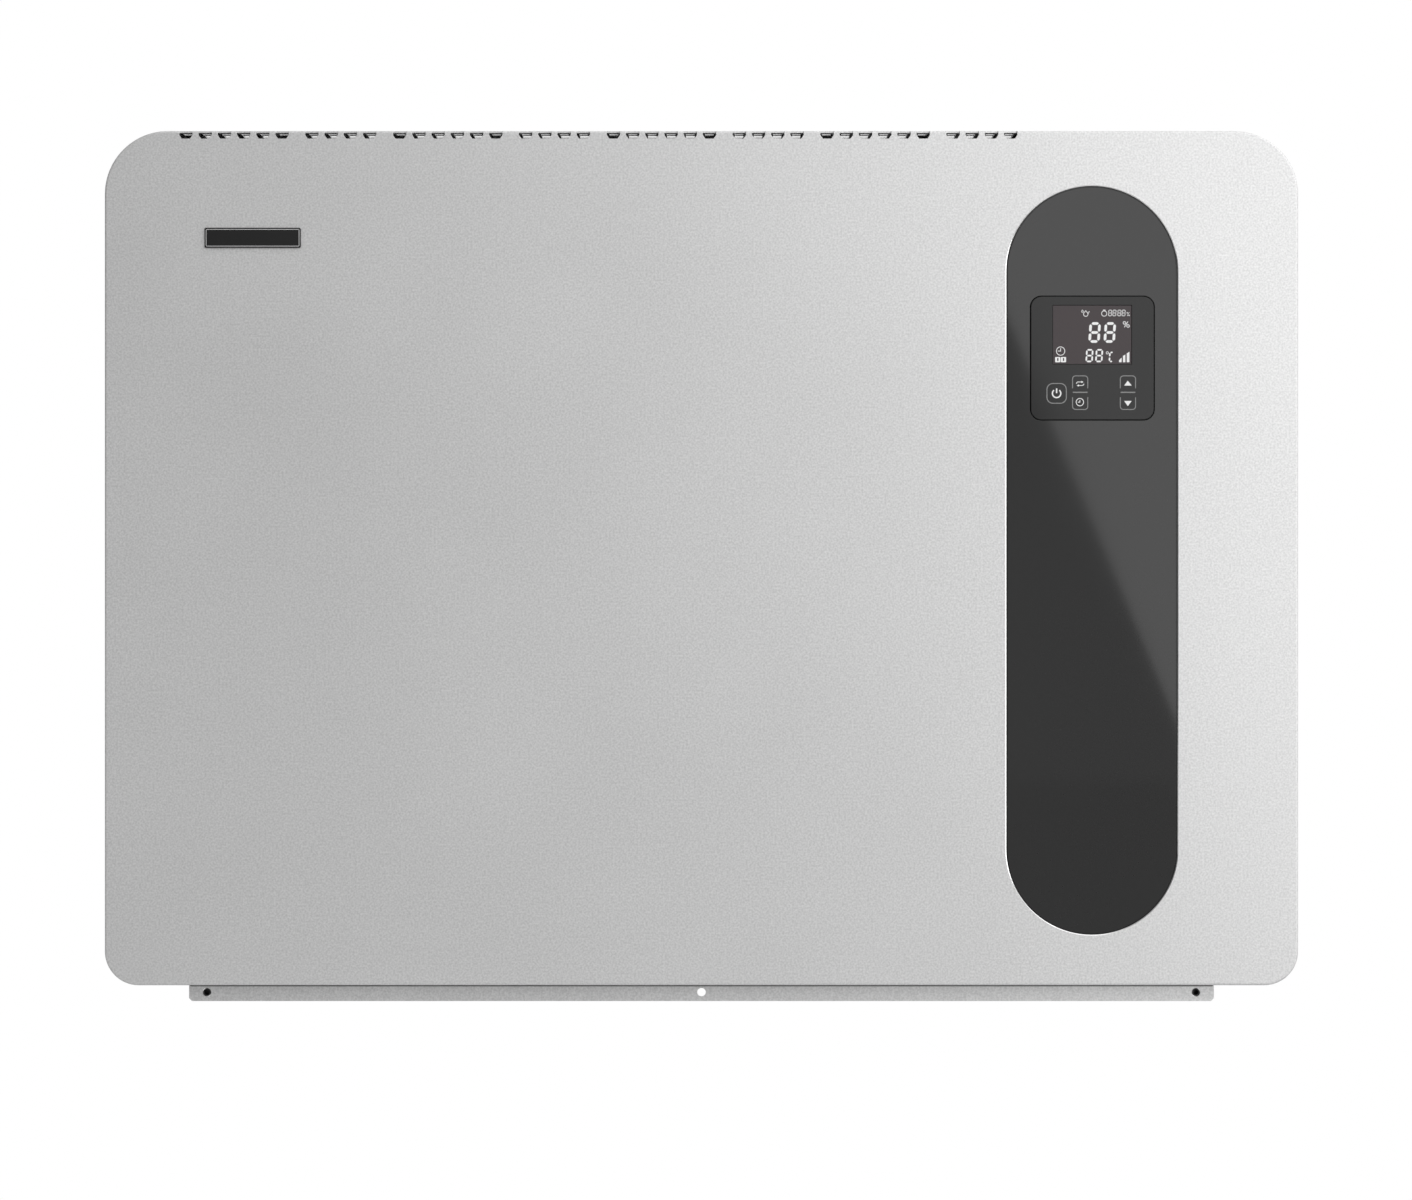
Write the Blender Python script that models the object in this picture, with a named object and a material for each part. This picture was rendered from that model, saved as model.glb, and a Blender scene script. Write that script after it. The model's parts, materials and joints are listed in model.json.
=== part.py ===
"""Wall-hung heat pump unit for a pool hall: a folded front cover with a dark control strip.

X runs to the right, Y towards the wall, Z up. The origin is the centre of the wall bracket's back face.
The front cover faces -Y. All sizes are metres.
"""
import math

import bmesh
import bpy
from mathutils import Vector

# ---------------------------------------------------------------- driving dimensions
GAP = 0.0003                # clearance between pieces that touch
SHEET = 0.0015              # cover and chassis sheet
OVER = 0.010                # how far a cutter runs past what it cuts

COVER_HALF_W = 0.500
COVER_TOP = 0.110
COVER_BOTTOM = -0.606
COVER_FRONT = -0.255
COVER_REAR = -0.008
TOP_RADIUS = 0.053
BOTTOM_RADIUS = 0.0285
BEND_RADIUS = 0.002         # outside radius of the fold round the front face
RETURN_DEPTH = 0.0197       # lip folded back under the front face
MOUTH_HALF_W = 0.440        # the cover is open below between these

SLOT_W = 0.0112              # on the front face
SLOT_TOP_W = 0.0074          # on the top
SLOT_NOTCH = 0.0030          # how far the wider front end of a slot runs back
SLOT_PITCH = 0.0161
SLOT_GROUP_PERIOD = 0.1790
SLOT_FOUR_OFFSET = 0.1055   # from the six-slot group's start to the four-slot group's
SLOT_FIRST_X = -0.4374
SLOT_DROP = 0.0067          # how far a front slot comes down the front face
SLOT_CHAMFER = (0.0021, 0.0031)
SLOT_ROWS = ((0.0085, 0.0150), (0.0185, 0.0315), (0.0350, 0.1440))    # behind the front face

STRIP_X = 0.3270            # dark control strip
STRIP_BOTTOM = -0.5633
STRIP_TOP = 0.0635
STRIP_RADIUS = 0.0716
STRIP_RECESS = 0.0006
STRIP_FLANGE = 0.0080
STRIP_SHEET = 0.0030        # thickness of its flange behind the cover
PAD_X = 0.3274              # square controller
PAD_Z = -0.0805
PAD_HALF = 0.0519
PAD_RADIUS = 0.0092
PAD_PLAY = 0.0004
HOUSING_HALF = 0.0560
LCD_LOW = (0.2940, -0.0859)
LCD_HIGH = (0.3604, -0.0361)
BADGE_LOW = (-0.4159, 0.0117)
BADGE_HIGH = (-0.3354, 0.0284)
BADGE_CORNER = 0.0012
BADGE_PROUD = 0.0015

BRACKET_HALF_L = 0.350
BRACKET_HALF_H = 0.030
BRACKET_SHEET = 0.002
BRACKET_FOOT = 0.008        # depth of the fold along its lower edge
BRACKET_HOLES_X = (0.06, 0.18, 0.30)
BRACKET_HOLE_R = 0.0045
HOOK_REACH = 0.012          # from the wall to the hook's front face
HOOK_RISE = 0.016
HANGER_HALF_L = 0.330
HANGER_LOW = -0.010
HANGER_TIP = 0.034          # lower end of the flange that hangs behind the hook
HANGER_REAR = -0.0055
BUFFER_X = 0.380
BUFFER_Z = -0.520
BUFFER_R = 0.016
BUFFER_BEVEL = 0.003

BACK_Y = -0.0200            # rear face of the back panel
BACK_INSET = 0.0025         # from the cover's outline
FLANGE_DEPTH = 0.0250
FLANGE_LOW = -0.560
FLANGE_HIGH = 0.040
FLANGE_SET = 0.0005         # flanges inside the panel's edge
SCREW_HEIGHTS = {"low": -0.540, "high": 0.020}
SCREW_Y = -0.0320
SCREW_R = 0.0020
NOTCH_HALF = 0.003

BASE_HALF_W = 0.4330
BASE_TOP = -0.6000
LIP_FRONT = -0.2350
LIP_BOTTOM = -0.6220
LIP_HOLE_Z = -0.6146
LIP_HOLE_X = 0.4179
LIP_HOLE_R = 0.00365
LIP_CORNER = 0.0025
BASE_WALL_FRONT = -0.2250
BASE_WALL_SET = 0.0010      # side walls inside the plate's edge
BASE_WALL_H = 0.0200
INTAKE_SLOTS = 11
INTAKE_PITCH = 0.056
INTAKE_WEB = 0.010
INTAKE_MARGIN = 0.012       # slots inside the filter's outline

FILTER_LEFT = -0.4200
FILTER_RIGHT = 0.2200
FILTER_FRONT = -0.1220
FILTER_REAR = -0.0280
FILTER_LOW = -0.6160
FILTER_HIGH = -0.6075
FILTER_RIM = 0.008
FILTER_BAYS = 5

PARTITION_X = 0.2720
TUBE_R = 0.00475
TUBE_PITCH = 0.0340
TUBE_PASSES = 8
TUBE_LOW_Z = -0.5470
TUBE_TAIL_X = 0.2800
COIL_LEFT = -0.4150
COIL_RIGHT = 0.2400
COIL_MARGIN = 0.0130        # fins beyond the outer passes
FIN_HOLE_R = 0.0057
EVAPORATOR_Y = (-0.1360, -0.1040)
CONDENSER_Y = (-0.1800, -0.1420)
TRAY_Y = (-0.1900, -0.0940)
TRAY_RIM = -0.5550
TRAY_WALL = 0.0020
SPIGOT_HOLE_R = 0.0098
SPIGOT_BORE_R = 0.0070
GLAND_HOLE_R = 0.0112
GLAND_BORE_R = 0.0050

DECK_TOP = -0.2605
FAN_Y = -0.1300
FAN_Z = -0.1600
FAN_X = (-0.3000, 0.1300)
MOTOR_X = -0.0850
MOTOR_R = 0.050
MOTOR_HALF_L = 0.055
SHAFT_R = 0.005
WHEEL_R = 0.072
WHEEL_HALF_W = 0.065
BLOWER_HALF_W = 0.075
BLOWER_TOP = 0.1000
SCROLL_START_R = 0.078
SCROLL_END_R = 0.098

COMPRESSOR = Vector((0.355, -0.125))
COMPRESSOR_R = 0.055
COMPRESSOR_LOW = -0.5850
COMPRESSOR_TOP = -0.3600
FOOT_CIRCLE = 0.070
FOOT_R = 0.014
ACCUMULATOR = Vector((0.405, -0.058))
ACCUMULATOR_LOW = -0.5660
ACCUMULATOR_TOP = -0.3980
DRIER = Vector((0.300, -0.205))
DRIER_LOW = -0.5100
DRIER_TOP = -0.4100
LIQUID_R = 0.0032
CAPILLARY_R = 0.0014
BOX_LOW = Vector((0.290, -0.205, -0.200))
BOX_HIGH = Vector((0.480, -0.060, 0.060))
BOARD_LOW = Vector((0.298, -0.0722, -0.100))
BOARD_HIGH = Vector((0.472, -0.0706, 0.052))
CAPACITOR = Vector((0.322, -0.120))
GLAND = Vector((0.300, -0.045))
SPIGOT = Vector((0.222, -0.142))

# ---------------------------------------------------------------- materials
COLOURS = {                 # base colour, roughness, metallic
    "silver_paint": ((0.56, 0.56, 0.56), 0.42, 0.55),
    "strip_gloss": ((0.040, 0.040, 0.040), 0.12, 0.0),
    "pad_plastic": ((0.030, 0.030, 0.030), 0.30, 0.0),
    "lcd_glass": ((0.082, 0.074, 0.076), 0.20, 0.0),
    "black_plastic": ((0.020, 0.020, 0.020), 0.45, 0.0),
    "galvanised": ((0.60, 0.61, 0.62), 0.40, 0.85),
    "zinc_screw": ((0.70, 0.70, 0.70), 0.30, 1.0),
    "rubber": ((0.025, 0.025, 0.025), 0.80, 0.0),
    "fin_foil": ((0.72, 0.73, 0.74), 0.35, 0.9),
    "copper": ((0.72, 0.36, 0.22), 0.30, 1.0),
    "compressor_black": ((0.015, 0.015, 0.016), 0.35, 0.1),
    "grey_plastic": ((0.32, 0.33, 0.34), 0.50, 0.0),
    "white_foam": ((0.80, 0.80, 0.78), 0.70, 0.0),
    "board_green": ((0.020, 0.120, 0.050), 0.45, 0.0),
    "mesh_black": ((0.050, 0.050, 0.055), 0.60, 0.0),
    "aluminium": ((0.75, 0.75, 0.76), 0.35, 1.0),
    "badge_black": ((0.010, 0.010, 0.010), 0.20, 0.0),
}


def clear_scene():
    for item in list(bpy.data.objects):
        bpy.data.objects.remove(item, do_unlink=True)


def material(name):
    made = bpy.data.materials.get(name)
    if made:
        return made
    colour, roughness, metallic = COLOURS[name]
    made = bpy.data.materials.new(name)
    made.use_nodes = True
    shader = made.node_tree.nodes["Principled BSDF"]
    shader.inputs["Base Color"].default_value = (*colour, 1.0)
    shader.inputs["Roughness"].default_value = roughness
    shader.inputs["Metallic"].default_value = metallic
    return made


# ---------------------------------------------------------------- shape helpers
def add_mesh(name, bm, finish=None, origin=(0, 0, 0), smooth=None):
    """Turn a closed bmesh in world metres into an object whose origin is at the given point."""
    bmesh.ops.remove_doubles(bm, verts=bm.verts, dist=1e-6)
    bmesh.ops.translate(bm, verts=bm.verts, vec=-Vector(origin))
    bmesh.ops.recalc_face_normals(bm, faces=bm.faces)
    mesh = bpy.data.meshes.new(name)
    bm.to_mesh(mesh)
    bm.free()
    if smooth:
        mesh.shade_smooth()
        mesh.set_sharp_from_angle(angle=math.radians(smooth))
    made = bpy.data.objects.new(name, mesh)
    made.location = origin
    bpy.context.scene.collection.objects.link(made)
    if finish:
        mesh.materials.append(material(finish))
    return made


def add_box(bm, low, high):
    low, high = Vector(low), Vector(high)
    corners = bmesh.ops.create_cube(bm, size=1.0)["verts"]
    for vert in corners:
        vert.co = Vector(
            high[i] if vert.co[i] > 0 else low[i] for i in range(3)
        )


def box(name, low, high, finish=None):
    bm = bmesh.new()
    add_box(bm, low, high)
    middle = (Vector(low) + Vector(high)) / 2
    return add_mesh(name, bm, finish, origin=middle)


def add_rings(bm, rings):
    """Skin closed rings of equal length one after the other, and cap the first and the last."""
    loops = [[bm.verts.new(point) for point in ring] for ring in rings]
    count = len(loops[0])
    for near, far in zip(loops, loops[1:]):
        for i in range(count):
            j = (i + 1) % count
            bm.faces.new((near[i], near[j], far[j], far[i]))
    bm.faces.new(loops[0])
    bm.faces.new(list(reversed(loops[-1])))


def along(axis, u, v, w):
    """A point with w along the named axis and u, v along the other two in X, Y, Z order."""
    return {"X": (w, u, v), "Y": (u, w, v), "Z": (u, v, w)}[axis]


def add_prism(bm, outline, axis, low, high):
    add_rings(bm, [[along(axis, u, v, w) for u, v in outline] for w in (low, high)])


def prism(name, outline, axis, low, high, finish=None, origin=(0, 0, 0)):
    bm = bmesh.new()
    add_prism(bm, outline, axis, low, high)
    return add_mesh(name, bm, finish, origin=origin)


def middle(span):
    return (span[0] + span[1]) / 2


def circle(u, v, radius, sides=16):
    step = math.tau / sides
    return [(u + radius * math.cos(i * step), v + radius * math.sin(i * step)) for i in range(sides)]


def arc(u, v, radius, start, stop, steps):
    """Points on an arc, angles in degrees, both ends included."""
    turn = (stop - start) / steps
    angles = [math.radians(start + i * turn) for i in range(steps + 1)]
    return [(u + radius * math.cos(a), v + radius * math.sin(a)) for a in angles]


def rounded(u_low, u_high, v_low, v_high, r_low, r_high, steps=10):
    """Outline with rounded corners; the lower pair and the upper pair have their own radii."""
    return (
        arc(u_high - r_low, v_low + r_low, r_low, -90, 0, steps)
        + arc(u_high - r_high, v_high - r_high, r_high, 0, 90, steps)
        + arc(u_low + r_high, v_high - r_high, r_high, 90, 180, steps)
        + arc(u_low + r_low, v_low + r_low, r_low, 180, 270, steps)
    )


def stadium(radius, steps=20):
    """The control strip's outline at the given end radius, about the strip's own arc centres."""
    high = STRIP_TOP - STRIP_RADIUS
    low = STRIP_BOTTOM + STRIP_RADIUS
    return arc(STRIP_X, high, radius, 0, 180, steps) + arc(STRIP_X, low, radius, 180, 360, steps)


def turned(name, profile, centre, finish, sides=20, smooth=35):
    """A solid of revolution about a vertical axis; profile is (radius, z) from the bottom up."""
    bm = bmesh.new()
    add_rings(bm, [[(u, v, z) for u, v in circle(*centre, r, sides)] for r, z in profile])
    return add_mesh(name, bm, finish, origin=(*centre, profile[0][1]), smooth=smooth)


def fillet_path(corners, radius, steps=4):
    """Round the corners of a polyline with arcs of the given radius."""
    corners = [Vector(c) for c in corners]
    path = [corners[0]]
    for before, corner, after in zip(corners, corners[1:], corners[2:]):
        back = (before - corner).normalized()
        ahead = (after - corner).normalized()
        half = back.angle(ahead) / 2
        reach = radius / math.tan(half)
        centre = corner + (back + ahead).normalized() * (radius / math.sin(half))
        first = corner + back * reach - centre
        last = corner + ahead * reach - centre
        for i in range(steps + 1):
            path.append(centre + first.slerp(last, i / steps).normalized() * radius)
    path.append(corners[-1])
    return path


def tube(name, path, radius, finish, sides_level=2):
    curve = bpy.data.curves.new(name, "CURVE")
    curve.dimensions = "3D"
    curve.bevel_depth = radius
    curve.bevel_resolution = sides_level
    curve.use_fill_caps = True
    spline = curve.splines.new("POLY")
    spline.points.add(len(path) - 1)
    for point, place in zip(spline.points, path):
        point.co = (*place, 1.0)
    curve.materials.append(material(finish))
    made = bpy.data.objects.new(name, curve)
    bpy.context.scene.collection.objects.link(made)
    return made


def boolean(target, tool, operation):
    tool.hide_render = True
    tool.display_type = "WIRE"
    change = target.modifiers.new(tool.name, "BOOLEAN")
    change.operation = operation
    change.solver = "EXACT"
    change.object = tool


def cut(target, tool):
    boolean(target, tool, "DIFFERENCE")


def join(target, tool):
    boolean(target, tool, "UNION")


def drill(target, name, centres, radius, axis, low, high, sides=12):
    """Cut a set of round holes along one axis."""
    bm = bmesh.new()
    for u, v in centres:
        add_prism(bm, circle(u, v, radius, sides), axis, low, high)
    cut(target, add_mesh(name, bm))


# ---------------------------------------------------------------- wall bracket and hanging gear
def wall_bracket():
    sheet, half = BRACKET_SHEET, BRACKET_HALF_H
    hook_top = half + HOOK_RISE
    outline = [
        (0, -half), (-BRACKET_FOOT, -half), (-BRACKET_FOOT, -half + sheet), (-sheet, -half + sheet),
        (-sheet, half - sheet), (-HOOK_REACH, half - sheet), (-HOOK_REACH, hook_top),
        (-HOOK_REACH + sheet, hook_top), (-HOOK_REACH + sheet, half), (0, half),
    ]
    plate = prism("wall_bracket", outline, "X", -BRACKET_HALF_L, BRACKET_HALF_L, "galvanised")
    holes = [(side * x, 0) for x in BRACKET_HOLES_X for side in (-1, 1)]
    drill(plate, "cut_bracket_holes", holes, BRACKET_HOLE_R, "Y", -OVER, OVER)


def hanger_rail():
    front = BACK_Y + GAP
    sheet = BRACKET_SHEET
    under = BRACKET_HALF_H + HOOK_RISE + GAP
    outline = [
        (front, HANGER_LOW), (front + sheet, HANGER_LOW), (front + sheet, under),
        (HANGER_REAR - sheet, under), (HANGER_REAR - sheet, HANGER_TIP), (HANGER_REAR, HANGER_TIP),
        (HANGER_REAR, under + sheet), (front, under + sheet),
    ]
    prism("hanger_rail", outline, "X", -HANGER_HALF_L, HANGER_HALF_L, "galvanised")


def wall_buffers():
    for side, x in (("left", -BUFFER_X), ("right", BUFFER_X)):
        bm = bmesh.new()
        profile = [(BUFFER_R, BACK_Y + GAP), (BUFFER_R, -BUFFER_BEVEL), (BUFFER_R - BUFFER_BEVEL, 0.0)]
        add_rings(bm, [[(u, y, v) for u, v in circle(x, BUFFER_Z, r)] for r, y in profile])
        add_mesh("wall_buffer_" + side, bm, "rubber", origin=(x, 0, BUFFER_Z), smooth=35)


# ---------------------------------------------------------------- chassis
def back_panel():
    inset = BACK_INSET
    outline = rounded(
        -COVER_HALF_W + inset, COVER_HALF_W - inset, COVER_BOTTOM + inset, COVER_TOP - inset,
        BOTTOM_RADIUS - inset, TOP_RADIUS - inset, steps=6,
    )
    panel = prism("back_panel", outline, "Y", BACK_Y - SHEET, BACK_Y, "galvanised")
    edge = COVER_HALF_W - inset - FLANGE_SET
    front = BACK_Y - FLANGE_DEPTH
    rear = BACK_Y - SHEET / 2
    for side, sign in (("left", -1), ("right", 1)):
        low_x, high_x = sorted((sign * edge, sign * (edge - SHEET)))
        flange = box("join_flange_" + side, (low_x, front, FLANGE_LOW), (high_x, rear, FLANGE_HIGH))
        join(panel, flange)
    bm = bmesh.new()
    for z in SCREW_HEIGHTS.values():
        for sign in (-1, 1):
            add_box(
                bm, (sign * edge - OVER / 2, front - OVER, z - NOTCH_HALF),
                (sign * edge + OVER / 2, SCREW_Y + NOTCH_HALF, z + NOTCH_HALF),
            )
    cut(panel, add_mesh("cut_screw_notches", bm))


def base_pan():
    """Plate under the machinery; its front edge is folded down into the lip seen below the cover."""
    rear = BACK_Y - SHEET - GAP
    inner = LIP_FRONT + SHEET
    outline = [
        (LIP_FRONT, LIP_BOTTOM), (inner, LIP_BOTTOM), (inner, BASE_TOP - SHEET),
        (rear, BASE_TOP - SHEET), (rear, BASE_TOP), (LIP_FRONT, BASE_TOP),
    ]
    pan = prism("base_pan", outline, "X", -BASE_HALF_W, BASE_HALF_W, "galvanised")
    bm = bmesh.new()
    corner = LIP_CORNER
    outside = BASE_HALF_W - BASE_WALL_SET
    for side, sign in (("left", -1), ("right", 1)):
        low_x, high_x = sorted((sign * outside, sign * (outside - SHEET)))
        wall = box(
            "join_base_side_" + side, (low_x, BASE_WALL_FRONT, BASE_TOP - SHEET / 2),
            (high_x, rear - BASE_WALL_SET, BASE_TOP + BASE_WALL_H),
        )
        join(pan, wall)
        inner_x = sign * (BASE_HALF_W - 2 * corner)
        outer_x = sign * (BASE_HALF_W + corner)
        low = LIP_BOTTOM - corner
        triangle = [(inner_x, low), (outer_x, low), (outer_x, LIP_BOTTOM + 2 * corner)]
        add_prism(bm, triangle, "Y", LIP_FRONT - OVER, LIP_FRONT + OVER)
    cut(pan, add_mesh("cut_lip_corners", bm))
    holes = [(x, LIP_HOLE_Z) for x in (-LIP_HOLE_X, 0, LIP_HOLE_X)]
    drill(pan, "cut_lip_holes", holes, LIP_HOLE_R, "Y", LIP_FRONT - OVER, LIP_FRONT + OVER, sides=20)
    drill(pan, "cut_spigot_hole", [SPIGOT], SPIGOT_HOLE_R, "Z", BASE_TOP - OVER, BASE_TOP + OVER)
    drill(pan, "cut_gland_hole", [GLAND], GLAND_HOLE_R, "Z", BASE_TOP - OVER, BASE_TOP + OVER)
    cut(pan, intake_slots())


def intake_slots():
    """Row of air slots through the base plate above the filter."""
    bm = bmesh.new()
    for i in range(INTAKE_SLOTS):
        left = FILTER_LEFT + INTAKE_MARGIN + i * INTAKE_PITCH
        add_box(
            bm, (left, FILTER_FRONT + INTAKE_MARGIN, BASE_TOP - OVER),
            (left + INTAKE_PITCH - INTAKE_WEB, FILTER_REAR - INTAKE_MARGIN, BASE_TOP + OVER),
        )
    return add_mesh("cut_intake_slots", bm)


def rivet_nuts():
    """Blind threaded inserts in the lip's end holes; the middle hole stays open."""
    length, blind, thread_r = 0.011, 0.009, 0.0024
    for side, sign in (("left", -1), ("right", 1)):
        place = (sign * LIP_HOLE_X, LIP_HOLE_Z)
        nut = prism(
            "rivet_nut_" + side, circle(*place, LIP_HOLE_R - GAP, 20), "Y",
            LIP_FRONT + GAP, LIP_FRONT + length, "black_plastic",
        )
        drill(nut, "cut_thread_" + side, [place], thread_r, "Y", LIP_FRONT - OVER, LIP_FRONT + blind)


def filter_guides():
    """Two angles under the base plate that the filter slides between."""
    drop, side_play, toe_length, spare = 0.003, 0.0015, 0.0075, 0.005
    top = BASE_TOP - SHEET - GAP
    low = FILTER_LOW - drop
    ends = (FILTER_LEFT - spare, FILTER_RIGHT + spare)
    for name, edge, inward in (("front", FILTER_FRONT, 1), ("rear", FILTER_REAR, -1)):
        web = edge - inward * side_play
        outer = web - inward * SHEET
        toe = web + inward * toe_length
        outline = [
            (outer, top), (outer, low), (toe, low), (toe, low + SHEET), (web, low + SHEET), (web, top),
        ]
        prism("filter_guide_" + name, outline, "X", *ends, "galvanised")


def partition_plate():
    front, top, hole_r = -0.228, 0.085, 0.009
    plate = box(
        "partition_plate", (PARTITION_X, front, BASE_TOP + GAP),
        (PARTITION_X + SHEET, BACK_Y - SHEET - GAP, top), "galvanised",
    )
    ends = (pass_heights()[0], pass_heights()[-1])
    holes = [(middle(span), z) for span in (EVAPORATOR_Y, CONDENSER_Y) for z in ends]
    drill(plate, "cut_pipe_holes", holes, hole_r, "X", PARTITION_X - OVER, PARTITION_X + OVER)


def drip_tray():
    left_spare, right_spare, wall = 0.0075, 0.002, TRAY_WALL
    low = (COIL_LEFT - left_spare, TRAY_Y[0], BASE_TOP + GAP)
    high = (PARTITION_X - right_spare, TRAY_Y[1], TRAY_RIM)
    tray = box("drip_tray", low, high, "white_foam")
    hollow = box(
        "cut_tray_hollow", [c + wall for c in low], (high[0] - wall, high[1] - wall, high[2] + OVER)
    )
    cut(tray, hollow)
    drill(tray, "cut_tray_drain", [SPIGOT], SPIGOT_HOLE_R, "Z", BASE_TOP - OVER, BASE_TOP + OVER)


def drain_spigot():
    """Hose spigot with one barb; its flange lies on the tray's floor."""
    low, barb, pipe_r, barb_r, flange_r, flange = -0.634, 0.004, 0.0090, 0.0094, 0.013, 0.002
    floor = BASE_TOP + 2 * GAP + TRAY_WALL
    profile = [
        (pipe_r, low), (barb_r, low + barb), (pipe_r, low + 2 * barb), (pipe_r, floor),
        (flange_r, floor), (flange_r, floor + flange),
    ]
    spigot = turned("drain_spigot", profile, SPIGOT, "black_plastic", sides=16)
    drill(spigot, "cut_spigot_bore", [SPIGOT], SPIGOT_BORE_R, "Z", low - OVER, floor + OVER)


def cable_gland():
    """Cable gland through the base plate, with its lock nut above the plate."""
    mouth_r, cap_r, thread_r, nut_r, play = 0.0080, 0.0140, 0.0105, 0.0155, 0.0004
    cap, dome, thread_top, nut_top = 0.009, 0.003, 0.008, 0.005
    low = BASE_TOP - SHEET - GAP
    profile = [
        (mouth_r, low - cap - dome), (mouth_r + dome, low - cap), (cap_r, low - cap), (cap_r, low),
        (thread_r, low), (thread_r, BASE_TOP + thread_top),
    ]
    gland = turned("cable_gland", profile, GLAND, "black_plastic", sides=16)
    drill(gland, "cut_gland_bore", [GLAND], GLAND_BORE_R, "Z", low - 2 * OVER, BASE_TOP + 2 * OVER)
    nut_height = (BASE_TOP + GAP, BASE_TOP + nut_top)
    nut = prism("gland_nut", circle(*GLAND, nut_r, 6), "Z", *nut_height, "black_plastic")
    drill(nut, "cut_nut_bore", [GLAND], thread_r + play, "Z", BASE_TOP - OVER, BASE_TOP + OVER)


# ---------------------------------------------------------------- intake filter
def filter_frame():
    """Ladder frame with a pull tab at its left end."""
    rim = FILTER_RIM
    frame = box(
        "filter_frame", (FILTER_LEFT, FILTER_FRONT, FILTER_LOW), (FILTER_RIGHT, FILTER_REAR, FILTER_HIGH),
        "grey_plastic",
    )
    hollow = box(
        "cut_filter_hollow", (FILTER_LEFT + rim, FILTER_FRONT + rim, FILTER_LOW - OVER),
        (FILTER_RIGHT - rim, FILTER_REAR - rim, FILTER_HIGH + OVER),
    )
    cut(frame, hollow)
    bm = bmesh.new()
    bar_half, bar_low, bar_high = 0.002, FILTER_LOW + 0.0005, FILTER_LOW + 0.003
    for i in range(1, FILTER_BAYS):
        x = FILTER_LEFT + i * (FILTER_RIGHT - FILTER_LEFT) / FILTER_BAYS
        add_box(
            bm, (x - bar_half, FILTER_FRONT + rim / 2, bar_low),
            (x + bar_half, FILTER_REAR - rim / 2, bar_high),
        )
    join(frame, add_mesh("join_filter_bars", bm))
    tab_reach, tab_half, tab_low, tab_high = 0.016, 0.020, FILTER_LOW + 0.001, FILTER_LOW + 0.0035
    centre_y = middle((FILTER_FRONT, FILTER_REAR))
    tab = box(
        "join_filter_tab", (FILTER_LEFT - tab_reach, centre_y - tab_half, tab_low),
        (FILTER_LEFT + rim / 2, centre_y + tab_half, tab_high),
    )
    join(frame, tab)


def filter_mesh():
    edge = FILTER_RIM + GAP
    net_low, net_high = FILTER_LOW + 0.0045, FILTER_LOW + 0.0060
    box(
        "filter_mesh", (FILTER_LEFT + edge, FILTER_FRONT + edge, net_low),
        (FILTER_RIGHT - edge, FILTER_REAR - edge, net_high), "mesh_black",
    )


# ---------------------------------------------------------------- coils
def pass_heights():
    return [TUBE_LOW_Z + i * TUBE_PITCH for i in range(TUBE_PASSES)]


def serpentine(y):
    """Route of one coil's tube: in at the lower right, back out at the upper right."""
    bend = TUBE_PITCH / 2
    bend_start = 0.004      # beyond the fins
    left = COIL_LEFT - bend_start
    right = COIL_RIGHT + bend_start
    heights = pass_heights()
    path = [(TUBE_TAIL_X, y, heights[0])]
    for i, z in enumerate(heights[:-1]):
        at_left = i % 2 == 0
        x = left if at_left else right
        sweep = (270, 90) if at_left else (-90, 90)
        path += [(u, y, v) for u, v in arc(x, z + bend, bend, *sweep, 5)]
    path.append((TUBE_TAIL_X, y, heights[-1]))
    return path


def coils():
    low = TUBE_LOW_Z - COIL_MARGIN
    high = pass_heights()[-1] + COIL_MARGIN
    for name, span in (("evaporator", EVAPORATOR_Y), ("condenser", CONDENSER_Y)):
        y = middle(span)
        fins = box(name + "_fins", (COIL_LEFT, span[0], low), (COIL_RIGHT, span[1], high), "fin_foil")
        centres = [(y, z) for z in pass_heights()]
        ends = (COIL_LEFT - OVER, COIL_RIGHT + OVER)
        drill(fins, "cut_" + name + "_holes", centres, FIN_HOLE_R, "X", *ends, sides=8)
        tube(name + "_tube", serpentine(y), TUBE_R, "copper")


def coil_plates():
    """End plates that hold both coils and stand in the drip tray."""
    margin, head = 0.003, 0.002
    front = CONDENSER_Y[0] - margin
    rear = EVAPORATOR_Y[1] + margin
    floor = BASE_TOP + TRAY_WALL + 2 * GAP
    high = pass_heights()[-1] + COIL_MARGIN + head
    centres = [(middle(span), z) for span in (EVAPORATOR_Y, CONDENSER_Y) for z in pass_heights()]
    for side, x in (("left", COIL_LEFT - GAP - SHEET), ("right", COIL_RIGHT + GAP)):
        plate = box("coil_plate_" + side, (x, front, floor), (x + SHEET, rear, high), "galvanised")
        drill(plate, "cut_plate_holes_" + side, centres, FIN_HOLE_R, "X", x - OVER, x + OVER, sides=8)


# ---------------------------------------------------------------- fans
def fan_deck():
    """Shelf that carries the fans; the air comes up through the slots along its front."""
    side_play, front = 0.006, -0.230
    deck = box(
        "fan_deck", (-COVER_HALF_W + side_play, front, DECK_TOP - SHEET),
        (PARTITION_X - GAP, BACK_Y - SHEET - GAP, DECK_TOP), "galvanised",
    )
    bm = bmesh.new()
    count, pitch, web, margin, depth = 5, 0.130, 0.012, 0.008, 0.037
    for i in range(count):
        left = COIL_LEFT + margin + i * pitch
        add_box(
            bm, (left, front + margin, DECK_TOP - OVER),
            (left + pitch - web, front + margin + depth, DECK_TOP + OVER),
        )
    cut(deck, add_mesh("cut_deck_slots", bm))


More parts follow.
